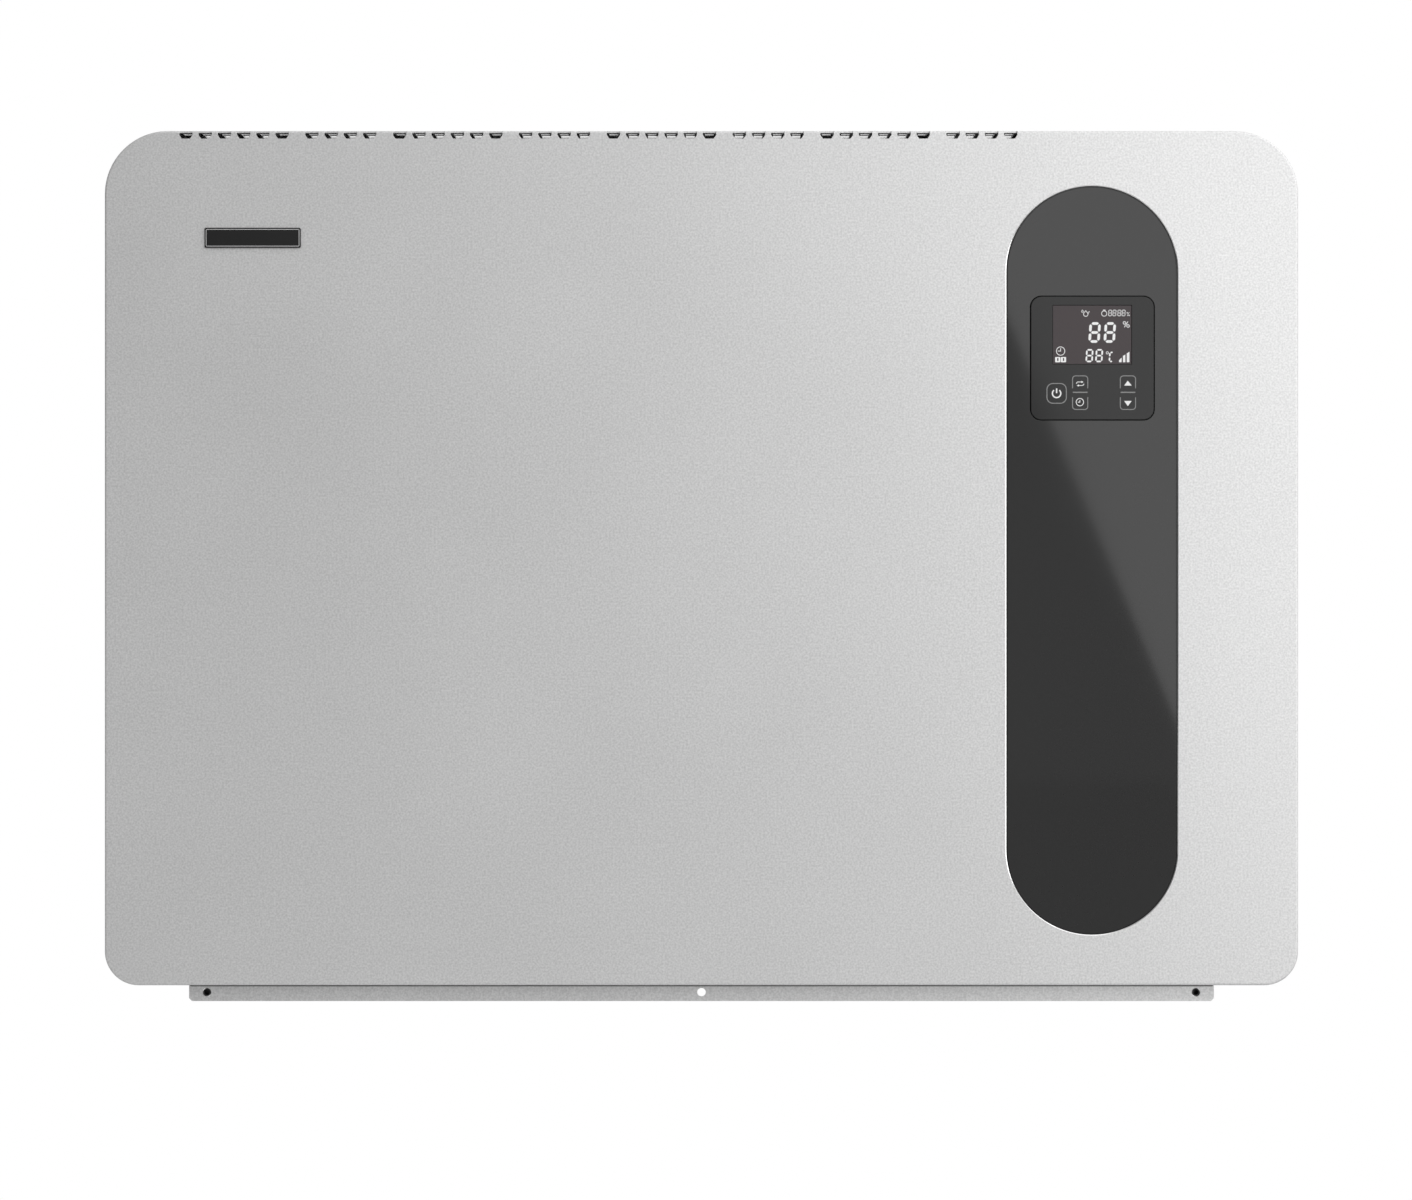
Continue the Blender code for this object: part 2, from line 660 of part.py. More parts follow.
def scroll_outline(extra, top):
    """Blower casing outline in Y, Z: a spiral round the wheel, then a duct straight up."""
    start, stop, steps = 50, -180, 11
    outline = []
    for i in range(steps + 1):
        share = i / steps
        angle = math.radians(start + share * (stop - start))
        radius = SCROLL_START_R + share * (SCROLL_END_R - SCROLL_START_R) + extra
        outline.append((FAN_Y + radius * math.cos(angle), FAN_Z + radius * math.sin(angle)))
    outline.append((FAN_Y - SCROLL_END_R - extra, top))
    outline.append((outline[0][0], top))
    return outline


def blower_housing(side, x):
    wall, foot_set, foot_half, foot_rise, inlet_r = 0.002, 0.005, 0.030, 0.084, 0.056
    low, high = x - BLOWER_HALF_W, x + BLOWER_HALF_W
    outline = scroll_outline(wall, BLOWER_TOP)
    casing = prism("blower_housing_" + side, outline, "X", low, high, "grey_plastic")
    foot = box(
        "join_blower_foot_" + side, (low + foot_set, FAN_Y - foot_half, DECK_TOP + GAP),
        (high - foot_set, FAN_Y + foot_half, FAN_Z - foot_rise),
    )
    join(casing, foot)
    inside = scroll_outline(0, BLOWER_TOP + OVER)
    cut(casing, prism("cut_scroll_" + side, inside, "X", low + wall, high - wall))
    drill(casing, "cut_inlet_" + side, [(FAN_Y, FAN_Z)], inlet_r, "X", low - OVER, high + OVER, sides=24)


def wheel_ring(bm, x, radius, count):
    return [bm.verts.new((x, u, v)) for u, v in circle(FAN_Y, FAN_Z, radius, count)]


def fan_wheel(side, x):
    """Squirrel-cage wheel: a slotted drum round a centre disc with its hub."""
    blades = 11
    count = 2 * blades
    inner_r, hub_r, bore_r = WHEEL_R - 0.007, 0.014, SHAFT_R + 0.0004
    ring, disc, boss_reach = 0.006, 0.002, 0.012
    half = (disc, WHEEL_HALF_W - ring, WHEEL_HALF_W)
    stations = [x - offset for offset in reversed(half)] + [x + offset for offset in half]
    bm = bmesh.new()
    outer = [wheel_ring(bm, s, WHEEL_R, count) for s in stations]
    inner = [wheel_ring(bm, s, inner_r, count) for s in stations]

    def strip(near, far, columns):
        for i in columns:
            j = (i + 1) % count
            bm.faces.new((near[i], near[j], far[j], far[i]))

    every = range(count)
    bars = range(0, count, 2)
    for row in range(5):
        solid = row in (0, 2, 4)
        strip(outer[row], outer[row + 1], every if solid else bars)
        if row != 2:
            strip(inner[row], inner[row + 1], every if solid else bars)
    for row in (1, 3):
        for i in range(1, count, 2):
            j = (i + 1) % count
            for k in (i, j):
                bm.faces.new((outer[row][k], outer[row + 1][k], inner[row + 1][k], inner[row][k]))
            for r in (row, row + 1):
                bm.faces.new((outer[r][i], outer[r][j], inner[r][j], inner[r][i]))
    for end in (0, 5):
        strip(outer[end], inner[end], every)
    bores = []
    for rim, sign in ((inner[2], -1), (inner[3], 1)):
        hub = wheel_ring(bm, x + sign * disc, hub_r, count)
        boss = wheel_ring(bm, x + sign * boss_reach, hub_r, count)
        bore = wheel_ring(bm, x + sign * boss_reach, bore_r, count)
        strip(rim, hub, every)
        strip(hub, boss, every)
        strip(boss, bore, every)
        bores.append(bore)
    strip(bores[0], bores[1], every)
    add_mesh("fan_wheel_" + side, bm, "black_plastic", origin=(x, FAN_Y, FAN_Z), smooth=30)


def fan_shaft():
    spare = 0.020
    outline = circle(FAN_Y, FAN_Z, SHAFT_R, 14)
    axis_point = (MOTOR_X, FAN_Y, FAN_Z)
    prism("fan_shaft", outline, "X", FAN_X[0] - spare, FAN_X[1] + spare, "zinc_screw", origin=axis_point)


def fan_motor():
    neck, neck_r, shoulder, play = 0.012, 0.018, 0.008, 0.0006
    half = [
        (MOTOR_HALF_L - shoulder, MOTOR_R), (MOTOR_HALF_L, MOTOR_R - shoulder), (MOTOR_HALF_L, neck_r),
        (MOTOR_HALF_L + neck, neck_r),
    ]
    profile = [(-x, r) for x, r in reversed(half)] + half
    bm = bmesh.new()
    add_rings(bm, [[(MOTOR_X + x, u, v) for u, v in circle(FAN_Y, FAN_Z, r, 24)] for x, r in profile])
    motor = add_mesh("fan_motor", bm, "aluminium", origin=(MOTOR_X, FAN_Y, FAN_Z), smooth=35)
    reach = MOTOR_HALF_L + neck + OVER
    drill(motor, "cut_motor_bore", [(FAN_Y, FAN_Z)], SHAFT_R + play, "X", MOTOR_X - reach, MOTOR_X + reach)


def motor_bracket():
    """Saddle under the motor, with a window below the cradle."""
    half_x, half_y, below_axis, play = 0.022, 0.060, 0.012, 0.001
    window_half_y, window_floor, window_below_axis = 0.040, 0.008, 0.062
    bracket = box(
        "motor_bracket", (MOTOR_X - half_x, FAN_Y - half_y, DECK_TOP + GAP),
        (MOTOR_X + half_x, FAN_Y + half_y, FAN_Z - below_axis), "galvanised",
    )
    ends = (MOTOR_X - half_x - OVER, MOTOR_X + half_x + OVER)
    drill(bracket, "cut_cradle", [(FAN_Y, FAN_Z)], MOTOR_R + play, "X", *ends, sides=24)
    window = box(
        "cut_bracket_window", (ends[0], FAN_Y - window_half_y, DECK_TOP + window_floor),
        (ends[1], FAN_Y + window_half_y, FAN_Z - window_below_axis),
    )
    cut(bracket, window)


# ---------------------------------------------------------------- refrigerant circuit
def compressor():
    radius, low, high = COMPRESSOR_R, COMPRESSOR_LOW, COMPRESSOR_TOP
    profile = [
        (0.030, low + 0.004), (radius - 0.010, low + 0.012), (radius, low + 0.030), (radius, high - 0.040),
        (radius - 0.008, high - 0.022), (radius - 0.028, high - 0.010), (0.010, high - 0.006), (0.008, high),
    ]
    shell = turned("compressor", profile, COMPRESSOR, "compressor_black", sides=24)
    ears = foot_centres()
    outline = []
    for i, (x, y) in enumerate(ears):
        facing = 90 + 120 * i
        outline += arc(x, y, FOOT_R, facing - 60, facing + 60, 5)
    feet = prism("join_compressor_feet", outline, "Z", low - 0.003, low + 0.006)
    join(shell, feet)


def foot_centres():
    angles = [math.radians(90 + 120 * i) for i in range(3)]
    return [
        (COMPRESSOR.x + FOOT_CIRCLE * math.cos(a), COMPRESSOR.y + FOOT_CIRCLE * math.sin(a)) for a in angles
    ]


def compressor_mounts():
    for i, (x, y) in enumerate(foot_centres(), start=1):
        high = COMPRESSOR_LOW - 0.003 - GAP
        profile = [(0.012, BASE_TOP + GAP), (0.009, BASE_TOP + 0.005), (0.012, high)]
        turned("rubber_mount_%d" % i, profile, (x, y), "rubber", sides=14)


def terminal_cover():
    """Cap over the compressor's terminals, on the front of its shell."""
    half, depth, clear, low, high = 0.022, 0.022, 0.001, -0.470, -0.425
    shell = COMPRESSOR.y - COMPRESSOR_R
    box(
        "terminal_cover", (COMPRESSOR.x - half, shell - depth, low),
        (COMPRESSOR.x + half, shell - clear, high), "black_plastic",
    )


def accumulator():
    low, high, radius = ACCUMULATOR_LOW, ACCUMULATOR_TOP, 0.022
    profile = [
        (0.008, low), (radius - 0.004, low + 0.008), (radius, low + 0.018), (radius, high - 0.026),
        (radius - 0.004, high - 0.014), (0.008, high - 0.008), (0.0062, high),
    ]
    turned("accumulator", profile, ACCUMULATOR, "compressor_black", sides=18)


def filter_drier():
    radius, cone = 0.013, 0.010
    profile = [
        (0.006, DRIER_LOW), (radius, DRIER_LOW + cone), (radius, DRIER_TOP - cone), (0.004, DRIER_TOP),
    ]
    turned("filter_drier", profile, DRIER, "copper", sides=14)


def pipes():
    high = pass_heights()[-1]
    start = TUBE_TAIL_X + GAP
    cold, hot = middle(EVAPORATOR_Y), middle(CONDENSER_Y)
    suction = [
        (start, cold, high), (DRIER.x, cold, high), (DRIER.x, ACCUMULATOR.y, high),
        (ACCUMULATOR.x, ACCUMULATOR.y, high), (ACCUMULATOR.x, ACCUMULATOR.y, ACCUMULATOR_TOP + GAP),
    ]
    tube("suction_pipe", fillet_path(suction, 0.012), TUBE_R, "copper")
    discharge = [
        (COMPRESSOR.x, COMPRESSOR.y, COMPRESSOR_TOP + GAP), (COMPRESSOR.x, COMPRESSOR.y, high),
        (COMPRESSOR.x, hot, high), (start, hot, high),
    ]
    tube("discharge_pipe", fillet_path(discharge, 0.014), TUBE_R, "copper")
    liquid = [
        (start, hot, TUBE_LOW_Z), (DRIER.x, hot, TUBE_LOW_Z), (DRIER.x, DRIER.y, TUBE_LOW_Z),
        (DRIER.x, DRIER.y, DRIER_LOW - GAP),
    ]
    tube("liquid_pipe", fillet_path(liquid, 0.008), LIQUID_R, "copper")


def capillary_tube():
    """Thin restrictor: up from the drier, two and a half loose turns, and down to the evaporator."""
    radius, turns, rise, per_turn = 0.014, 2.5, 0.006, 10
    cold = middle(EVAPORATOR_Y)
    centre_y = DRIER.y + radius
    foot = DRIER_TOP + 0.020
    coil = []
    for i in range(int(turns * per_turn) + 1):
        angle = math.radians(-90) + math.tau * i / per_turn
        x = DRIER.x + radius * math.cos(angle)
        coil.append((x, centre_y + radius * math.sin(angle), foot + rise * i / per_turn))
    lead = [(DRIER.x, DRIER.y, DRIER_TOP + GAP), (DRIER.x, DRIER.y, foot - rise / 2)]
    top = coil[-1][2]
    side = TUBE_TAIL_X + 0.011
    down = [coil[-1], (side, cold, top), (side, cold, TUBE_LOW_Z), (TUBE_TAIL_X + GAP, cold, TUBE_LOW_Z)]
    tail = fillet_path(down, 0.006)
    tube("capillary_tube", lead + coil + tail[1:], CAPILLARY_R, "copper")


# ---------------------------------------------------------------- electrical parts
def electrical_box():
    """Sheet case, open to the front, with four studs behind the board."""
    case = box("electrical_box", BOX_LOW, BOX_HIGH, "galvanised")
    wall = Vector((SHEET, SHEET, SHEET))
    inner_low = BOX_LOW + Vector((SHEET, -OVER, SHEET))
    cut(case, box("cut_electrical_hollow", inner_low, BOX_HIGH - wall))
    bm = bmesh.new()
    corner, stud_r = 0.008, 0.003
    for x in (BOARD_LOW.x + corner, BOARD_HIGH.x - corner):
        for z in (BOARD_LOW.z + corner, BOARD_HIGH.z - corner):
            add_prism(bm, circle(x, z, stud_r, 8), "Y", BOARD_HIGH.y + GAP, BOX_HIGH.y - SHEET / 2)
    join(case, add_mesh("join_standoffs", bm))


def electrical_parts():
    """Board, motor capacitors and the terminal block that the mains cable ends in."""
    rear = BOX_HIGH.y - SHEET - GAP
    low = BOX_LOW.z + SHEET + GAP
    box("main_board", BOARD_LOW, BOARD_HIGH, "board_green")
    can_r, can_height, crimp = 0.020, 0.074, 0.004
    profile = [(can_r, low), (can_r, low + can_height - crimp), (can_r - 0.003, low + can_height)]
    turned("run_capacitor", profile, CAPACITOR, "aluminium", sides=20)
    shelf = low + 0.010
    box("fan_capacitor", (0.356, rear - 0.018, shelf), (0.390, rear, shelf + 0.024), "black_plastic")
    left, ways, way_pitch, block_height = 0.402, 5, 0.0125, 0.028
    right = left + ways * way_pitch + 0.0035
    top = shelf + block_height
    block = box("terminal_block", (left, rear - 0.022, shelf), (right, rear, top), "white_foam")
    bm = bmesh.new()
    for i in range(ways):
        way = left + 0.004 + i * way_pitch
        add_box(bm, (way, rear - 0.030, shelf + 0.006), (way + 0.008, rear - 0.012, shelf + 0.022))
    cut(block, add_mesh("cut_terminals", bm))


# ---------------------------------------------------------------- front cover
def cover_outline(inset):
    return rounded(
        -COVER_HALF_W + inset, COVER_HALF_W - inset, COVER_BOTTOM + inset, COVER_TOP - inset,
        BOTTOM_RADIUS - inset, TOP_RADIUS - inset, steps=12,
    )


def fold_rings(radius):
    """Rings round the fold between skirt and front face, for the given fold radius."""
    steps = 3
    rings = []
    for i in range(steps + 1):
        angle = math.radians(90 * i / steps)
        inset = BEND_RADIUS - radius * math.cos(angle)
        y = COVER_FRONT + BEND_RADIUS - radius * math.sin(angle)
        rings.append([(u, y, v) for u, v in cover_outline(inset)])
    return rings


def add_shell(bm):
    """Folded sheet: outer skin to the front face and inner skin behind it, joined at the rear rim."""
    outer = [[(u, COVER_REAR, v) for u, v in cover_outline(0)]] + fold_rings(BEND_RADIUS)
    inner = [[(u, COVER_REAR, v) for u, v in cover_outline(SHEET)]] + fold_rings(BEND_RADIUS - SHEET)
    add_rings(bm, list(reversed(outer)) + inner)


def group_starts():
    """Left edge and slot count of each group along the top."""
    groups = []
    for i in range(4):
        left = SLOT_FIRST_X + i * SLOT_GROUP_PERIOD
        groups.append((left, 6))
        groups.append((left + SLOT_FOUR_OFFSET, 4))
    return groups


def front_slots():
    """Notches over the front fold, narrower at their lower end."""
    bm = bmesh.new()
    low = COVER_TOP - SLOT_DROP
    narrow, rise = SLOT_CHAMFER
    for start, count in group_starts():
        for i in range(count):
            left = start + i * SLOT_PITCH
            right = left + SLOT_W
            outline = [
                (left + narrow, low), (right - narrow, low), (right, low + rise),
                (right, COVER_TOP + OVER), (left, COVER_TOP + OVER), (left, low + rise),
            ]
            add_prism(bm, outline, "Y", COVER_FRONT - OVER, COVER_FRONT + SLOT_NOTCH)
    return add_mesh("cut_front_slots", bm)


def top_slots():
    """Outlet slots; a six-slot group has only the first row behind its first and last notch."""
    bm = bmesh.new()
    for start, count in group_starts():
        for i in range(count):
            short = count == 6 and i in (0, 5)
            left = start + i * SLOT_PITCH + (SLOT_W - SLOT_TOP_W) / 2
            for near, far in SLOT_ROWS[:1] if short else SLOT_ROWS:
                add_box(
                    bm, (left, COVER_FRONT + near, COVER_TOP - OVER),
                    (left + SLOT_TOP_W, COVER_FRONT + far, COVER_TOP + OVER),
                )
    return add_mesh("cut_top_slots", bm)


def front_cover():
    bm = bmesh.new()
    add_shell(bm)
    cover = add_mesh("front_cover", bm, "silver_paint", smooth=35)
    mouth = box(
        "cut_mouth", (-MOUTH_HALF_W, COVER_FRONT + RETURN_DEPTH, COVER_BOTTOM - OVER),
        (MOUTH_HALF_W, COVER_REAR + OVER, COVER_BOTTOM + OVER),
    )
    cut(cover, mouth)
    cut(cover, prism("cut_strip", stadium(STRIP_RADIUS), "Y", COVER_FRONT - OVER, COVER_FRONT + OVER))
    cut(cover, front_slots())
    cut(cover, top_slots())
    centres = [(SCREW_Y, z) for z in SCREW_HEIGHTS.values()]
    reach = COVER_HALF_W + OVER
    drill(cover, "cut_screw_holes", centres, SCREW_R + 0.0005, "X", -reach, reach)


def pad_outline(extra):
    half = PAD_HALF + extra
    radius = PAD_RADIUS + extra
    return rounded(PAD_X - half, PAD_X + half, PAD_Z - half, PAD_Z + half, radius, radius, steps=6)


def control_strip():
    face = COVER_FRONT + STRIP_RECESS
    seat = COVER_FRONT + SHEET + GAP
    back = seat + STRIP_SHEET
    sections = [
        (STRIP_RADIUS - GAP, face), (STRIP_RADIUS - GAP, seat),
        (STRIP_RADIUS + STRIP_FLANGE, seat), (STRIP_RADIUS + STRIP_FLANGE, back),
    ]
    bm = bmesh.new()
    add_rings(bm, [[(u, y, v) for u, v in stadium(radius)] for radius, y in sections])
    strip = add_mesh("control_strip", bm, "strip_gloss", smooth=35)
    cut(strip, prism("cut_pad_hole", pad_outline(PAD_PLAY), "Y", face - OVER, back + OVER))


def controller():
    """Touch pad with its display, the board behind them and the housing round the board."""
    face = COVER_FRONT
    back = COVER_FRONT + SHEET + GAP + STRIP_SHEET
    edge, lcd_depth, board_half, board_sheet, board_space = 0.0004, 0.003, 0.046, 0.0016, 0.014
    bm = bmesh.new()
    sections = [(-GAP - edge, face), (-GAP, face + edge), (-GAP, back)]
    add_rings(bm, [[(u, y, v) for u, v in pad_outline(extra)] for extra, y in sections])
    pad = add_mesh("touch_pad", bm, "pad_plastic", smooth=35)
    (left, low), (right, high) = LCD_LOW, LCD_HIGH
    cut(pad, box("cut_lcd_window", (left, face - OVER, low), (right, back + OVER, high)))
    lcd_back = back + lcd_depth
    box(
        "lcd_module", (left + GAP, face + GAP, low + GAP), (right - GAP, lcd_back, high - GAP), "lcd_glass",
    )
    board_front = lcd_back + GAP
    box(
        "display_board", (PAD_X - board_half, board_front, PAD_Z - board_half),
        (PAD_X + board_half, board_front + board_sheet, PAD_Z + board_half), "board_green",
    )
    controller_housing(back + GAP, board_front + board_space)


def controller_housing(front, back):
    half, wall = HOUSING_HALF, 0.002
    housing = box(
        "controller_housing", (PAD_X - half, front, PAD_Z - half), (PAD_X + half, back, PAD_Z + half),
        "black_plastic",
    )
    inner = half - wall
    hollow = box(
        "cut_housing_hollow", (PAD_X - inner, front - OVER, PAD_Z - inner),
        (PAD_X + inner, back - wall, PAD_Z + inner),
    )
    cut(housing, hollow)


def badge_plate():
    (left, low), (right, high) = BADGE_LOW, BADGE_HIGH
    outline = rounded(left, right, low, high, BADGE_CORNER, BADGE_CORNER, steps=3)
    prism("badge_plate", outline, "Y", COVER_FRONT - BADGE_PROUD, COVER_FRONT - GAP, "badge_black")


def cover_screws():
    """Four shoulder screws; loosened, they slide out of the chassis notches with the cover."""
    head = COVER_HALF_W + GAP
    shank, head_r, crown_r, head_rim, head_height = 0.0085, 0.0042, 0.0028, 0.0016, 0.0026
    profile = [
        (head - shank, SCREW_R), (head, SCREW_R), (head, head_r), (head + head_rim, head_r),
        (head + head_height, crown_r),
    ]
    for height, z in SCREW_HEIGHTS.items():
        for side, sign in (("left", -1), ("right", 1)):
            name = "cover_screw_%s_%s" % (side, height)
            bm = bmesh.new()
            add_rings(bm, [[(sign * x, u, v) for u, v in circle(SCREW_Y, z, r, 12)] for x, r in profile])
            add_mesh(name, bm, "zinc_screw", origin=(sign * head, SCREW_Y, z), smooth=35)


def build():
    clear_scene()
    wall_bracket()
    hanger_rail()
    wall_buffers()
    back_panel()
    base_pan()
    rivet_nuts()
    filter_guides()
    partition_plate()
    drip_tray()
    drain_spigot()
    cable_gland()
    filter_frame()
    filter_mesh()
    coils()
    coil_plates()
    fan_deck()
    for side, x in zip(("left", "right"), FAN_X):
        blower_housing(side, x)
        fan_wheel(side, x)
    fan_shaft()
    fan_motor()
    motor_bracket()
    compressor()
    compressor_mounts()
    terminal_cover()
    accumulator()
    filter_drier()
    pipes()
    capillary_tube()
    electrical_box()
    electrical_parts()
    front_cover()
    control_strip()
    controller()
    badge_plate()
    cover_screws()


build()
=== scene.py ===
"""Looks of the wall-hung heat pump unit. Metres, in the CAD frame: X right, Y into the wall, Z up."""
import json
import math

import bmesh
import bpy
from mathutils import Matrix, Vector

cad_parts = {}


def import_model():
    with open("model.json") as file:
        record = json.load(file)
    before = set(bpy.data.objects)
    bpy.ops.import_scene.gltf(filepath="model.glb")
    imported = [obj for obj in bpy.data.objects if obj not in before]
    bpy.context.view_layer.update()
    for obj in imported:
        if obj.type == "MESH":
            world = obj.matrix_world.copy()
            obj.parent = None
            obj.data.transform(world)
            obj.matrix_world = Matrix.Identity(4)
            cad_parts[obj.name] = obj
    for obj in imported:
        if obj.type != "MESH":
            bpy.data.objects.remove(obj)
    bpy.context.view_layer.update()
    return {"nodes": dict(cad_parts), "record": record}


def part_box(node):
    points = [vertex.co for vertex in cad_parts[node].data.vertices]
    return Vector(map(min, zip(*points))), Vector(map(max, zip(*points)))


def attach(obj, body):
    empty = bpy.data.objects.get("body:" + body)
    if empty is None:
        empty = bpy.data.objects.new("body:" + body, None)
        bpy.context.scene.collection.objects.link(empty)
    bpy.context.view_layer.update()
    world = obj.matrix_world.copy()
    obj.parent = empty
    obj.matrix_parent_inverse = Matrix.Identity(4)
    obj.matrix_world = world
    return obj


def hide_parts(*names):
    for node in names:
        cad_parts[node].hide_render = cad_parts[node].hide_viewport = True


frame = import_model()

NODES = frame["nodes"]
GAP = 0.0003                # clearance between pieces that touch
SHEET = 0.0015              # cover and chassis sheet
OVER = 0.010                # how far a cutter runs past what it cuts
MM = 0.001
WELD = 1e-5                 # corners nearer than this are one corner
CREASE = 35                 # edges sharper than this many degrees stay sharp


def low(node):
    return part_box(node)[0]


def high(node):
    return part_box(node)[1]


def centre(node):
    return (low(node) + high(node)) / 2


# ---------------------------------------------------------------- materials
def noise(tree, coords, scale, detail=3.0, stretch=None):
    """A noise texture in object space, in features per metre; returns its value output."""
    if stretch:
        mapping = tree.nodes.new("ShaderNodeMapping")
        mapping.inputs["Scale"].default_value = stretch
        tree.links.new(coords, mapping.inputs["Vector"])
        coords = mapping.outputs["Vector"]
    texture = tree.nodes.new("ShaderNodeTexNoise")
    texture.inputs["Scale"].default_value = scale
    texture.inputs["Detail"].default_value = detail
    tree.links.new(coords, texture.inputs["Vector"])
    return texture.outputs["Fac"]


def cells(tree, coords, scale):
    """Crystal-like patches, each of one random tone; returns that tone."""
    texture = tree.nodes.new("ShaderNodeTexVoronoi")
    texture.inputs["Scale"].default_value = scale
    tree.links.new(coords, texture.inputs["Vector"])
    split = tree.nodes.new("ShaderNodeSeparateColor")
    tree.links.new(texture.outputs["Color"], split.inputs["Color"])
    return split.outputs["Red"]


def remap(tree, value, to_low, to_high, start=0.3, stop=0.7):
    node = tree.nodes.new("ShaderNodeMapRange")
    node.inputs["From Min"].default_value = start
    node.inputs["From Max"].default_value = stop
    node.inputs["To Min"].default_value = to_low
    node.inputs["To Max"].default_value = to_high
    tree.links.new(value, node.inputs["Value"])
    return node.outputs["Result"]


def multiply(tree, first, second):
    node = tree.nodes.new("ShaderNodeMath")
    node.operation = "MULTIPLY"
    tree.links.new(first, node.inputs[0])
    tree.links.new(second, node.inputs[1])
    return node.outputs[0]


def look(name, colour, roughness, metallic=0.0, grain=(900, 0.04), cloud=(7, 0.02), bump=(900, 0.00002),
         spread=0.05, stretch=None, spangle=None, edge=0.0004, **sockets):
    """Principled material. Tone, roughness and relief vary with object-space noise, and edges look eased.

    grain and cloud are (features per metre, share of the tone), bump is (features per metre, height),
    spangle is the size of zinc crystals in features per metre, and edge is the radius of the eased edges.
    """
    made = bpy.data.materials.new(name)
    made.use_nodes = True
    tree = made.node_tree
    shader = tree.nodes["Principled BSDF"]
    coords = tree.nodes.new("ShaderNodeTexCoord").outputs["Object"]
    fine = noise(tree, coords, grain[0], 2.0, stretch)
    broad = noise(tree, coords, cloud[0])
    tone = multiply(
        tree, remap(tree, fine, 1 - grain[1], 1 + grain[1]), remap(tree, broad, 1 - cloud[1], 1 + cloud[1])
    )
    patches = broad
    if spangle:
        crystal = cells(tree, coords, spangle)
        tone = multiply(tree, tone, remap(tree, crystal, 0.93, 1.05, 0.0, 1.0))
        patches = crystal
    tint = tree.nodes.new("ShaderNodeVectorMath")
    tint.operation = "SCALE"
    tint.inputs[0].default_value = colour
    tree.links.new(tone, tint.inputs["Scale"])
    tree.links.new(tint.outputs["Vector"], shader.inputs["Base Color"])
    gloss = remap(tree, patches, max(roughness - spread, 0.02), roughness + spread)
    tree.links.new(gloss, shader.inputs["Roughness"])
    relief = tree.nodes.new("ShaderNodeBump")
    relief.inputs["Strength"].default_value = 1.0
    relief.inputs["Distance"].default_value = bump[1]
    tree.links.new(noise(tree, coords, bump[0], 2.0, stretch), relief.inputs["Height"])
    if edge:
        eased = tree.nodes.new("ShaderNodeBevel")
        eased.samples = 4
        eased.inputs["Radius"].default_value = edge
        tree.links.new(eased.outputs["Normal"], relief.inputs["Normal"])
    tree.links.new(relief.outputs["Normal"], shader.inputs["Normal"])
    shader.inputs["Metallic"].default_value = metallic
    for socket, value in sockets.items():
        shader.inputs[socket.replace("_", " ")].default_value = value
    return made


def make_looks():
    """One material for each of the record's slots."""
    return {
        "silver_paint": look(
            "silver_powder_coat", (0.658, 0.658, 0.658), 0.42, 0.50, grain=(620, 0.13), cloud=(5, 0.01),
            bump=(1300, 0.00002), spread=0.03,
        ),
        "strip_gloss": look(
            "strip_gloss_grey", (0.0142, 0.0142, 0.0142), 0.05, grain=(300, 0.02),
            bump=(60, 0.000002), spread=0.01,
        ),
        "pad_plastic": look(
            "pad_dark_plastic", (0.018, 0.018, 0.018), 0.09, grain=(1500, 0.04), bump=(2500, 0.000002),
            spread=0.01, Specular_IOR_Level=0.28,
        ),
        "lcd_glass": look(
            "display_glass", (0.0465, 0.036, 0.0385), 0.10, grain=(600, 0.02), bump=(60, 0.000001),
            spread=0.02, Specular_IOR_Level=0.28,
        ),
        "black_plastic": look(
            "black_moulding", (0.020, 0.020, 0.021), 0.45, grain=(1200, 0.10), bump=(1800, 0.00004),
        ),
        "galvanised": look(
            "galvanised_sheet", (0.60, 0.61, 0.62), 0.36, 0.85, grain=(400, 0.03), cloud=(14, 0.05),
            bump=(500, 0.00001), spread=0.05, spangle=150,
        ),
        "zinc_screw": look(
            "bright_zinc", (0.70, 0.70, 0.71), 0.26, 1.0, grain=(600, 0.05), bump=(1500, 0.00001),
        ),
        "rubber": look(
            "matte_rubber", (0.026, 0.026, 0.026), 0.80, grain=(900, 0.12), bump=(1200, 0.00006),
        ),
        "fin_foil": look(
            "fin_foil", (0.74, 0.75, 0.76), 0.32, 0.9, grain=(250, 0.05), bump=(800, 0.00001), edge=0,
        ),
        "copper": look(
            "drawn_copper", (0.72, 0.34, 0.20), 0.28, 1.0, grain=(160, 0.10), cloud=(25, 0.12),
            bump=(700, 0.00001), spread=0.08,
        ),
        "compressor_black": look(
            "black_enamel", (0.016, 0.016, 0.017), 0.30, grain=(300, 0.08), bump=(350, 0.00006), spread=0.06,
        ),
        "grey_plastic": look(
            "grey_moulding", (0.30, 0.31, 0.32), 0.48, grain=(1200, 0.04), bump=(1500, 0.00003), edge=0.0006,
        ),
        "white_foam": look(
            "white_moulding", (0.78, 0.78, 0.76), 0.60, grain=(500, 0.03), bump=(700, 0.00008), edge=0.0008,
        ),
        "board_green": look(
            "board_lacquer", (0.020, 0.120, 0.050), 0.35, grain=(400, 0.15), bump=(900, 0.00002),
        ),
        "mesh_black": look(
            "filter_thread", (0.050, 0.050, 0.055), 0.60, grain=(1500, 0.10), bump=(2500, 0.00002), edge=0,
        ),
        "aluminium": look(
            "satin_aluminium", (0.75, 0.75, 0.76), 0.34, 1.0, grain=(300, 0.05), bump=(700, 0.00002),
        ),
        "badge_black": look(
            "badge_gloss", (0.010, 0.010, 0.010), 0.15, grain=(300, 0.05), bump=(60, 0.000002), spread=0.03,
        ),
    }


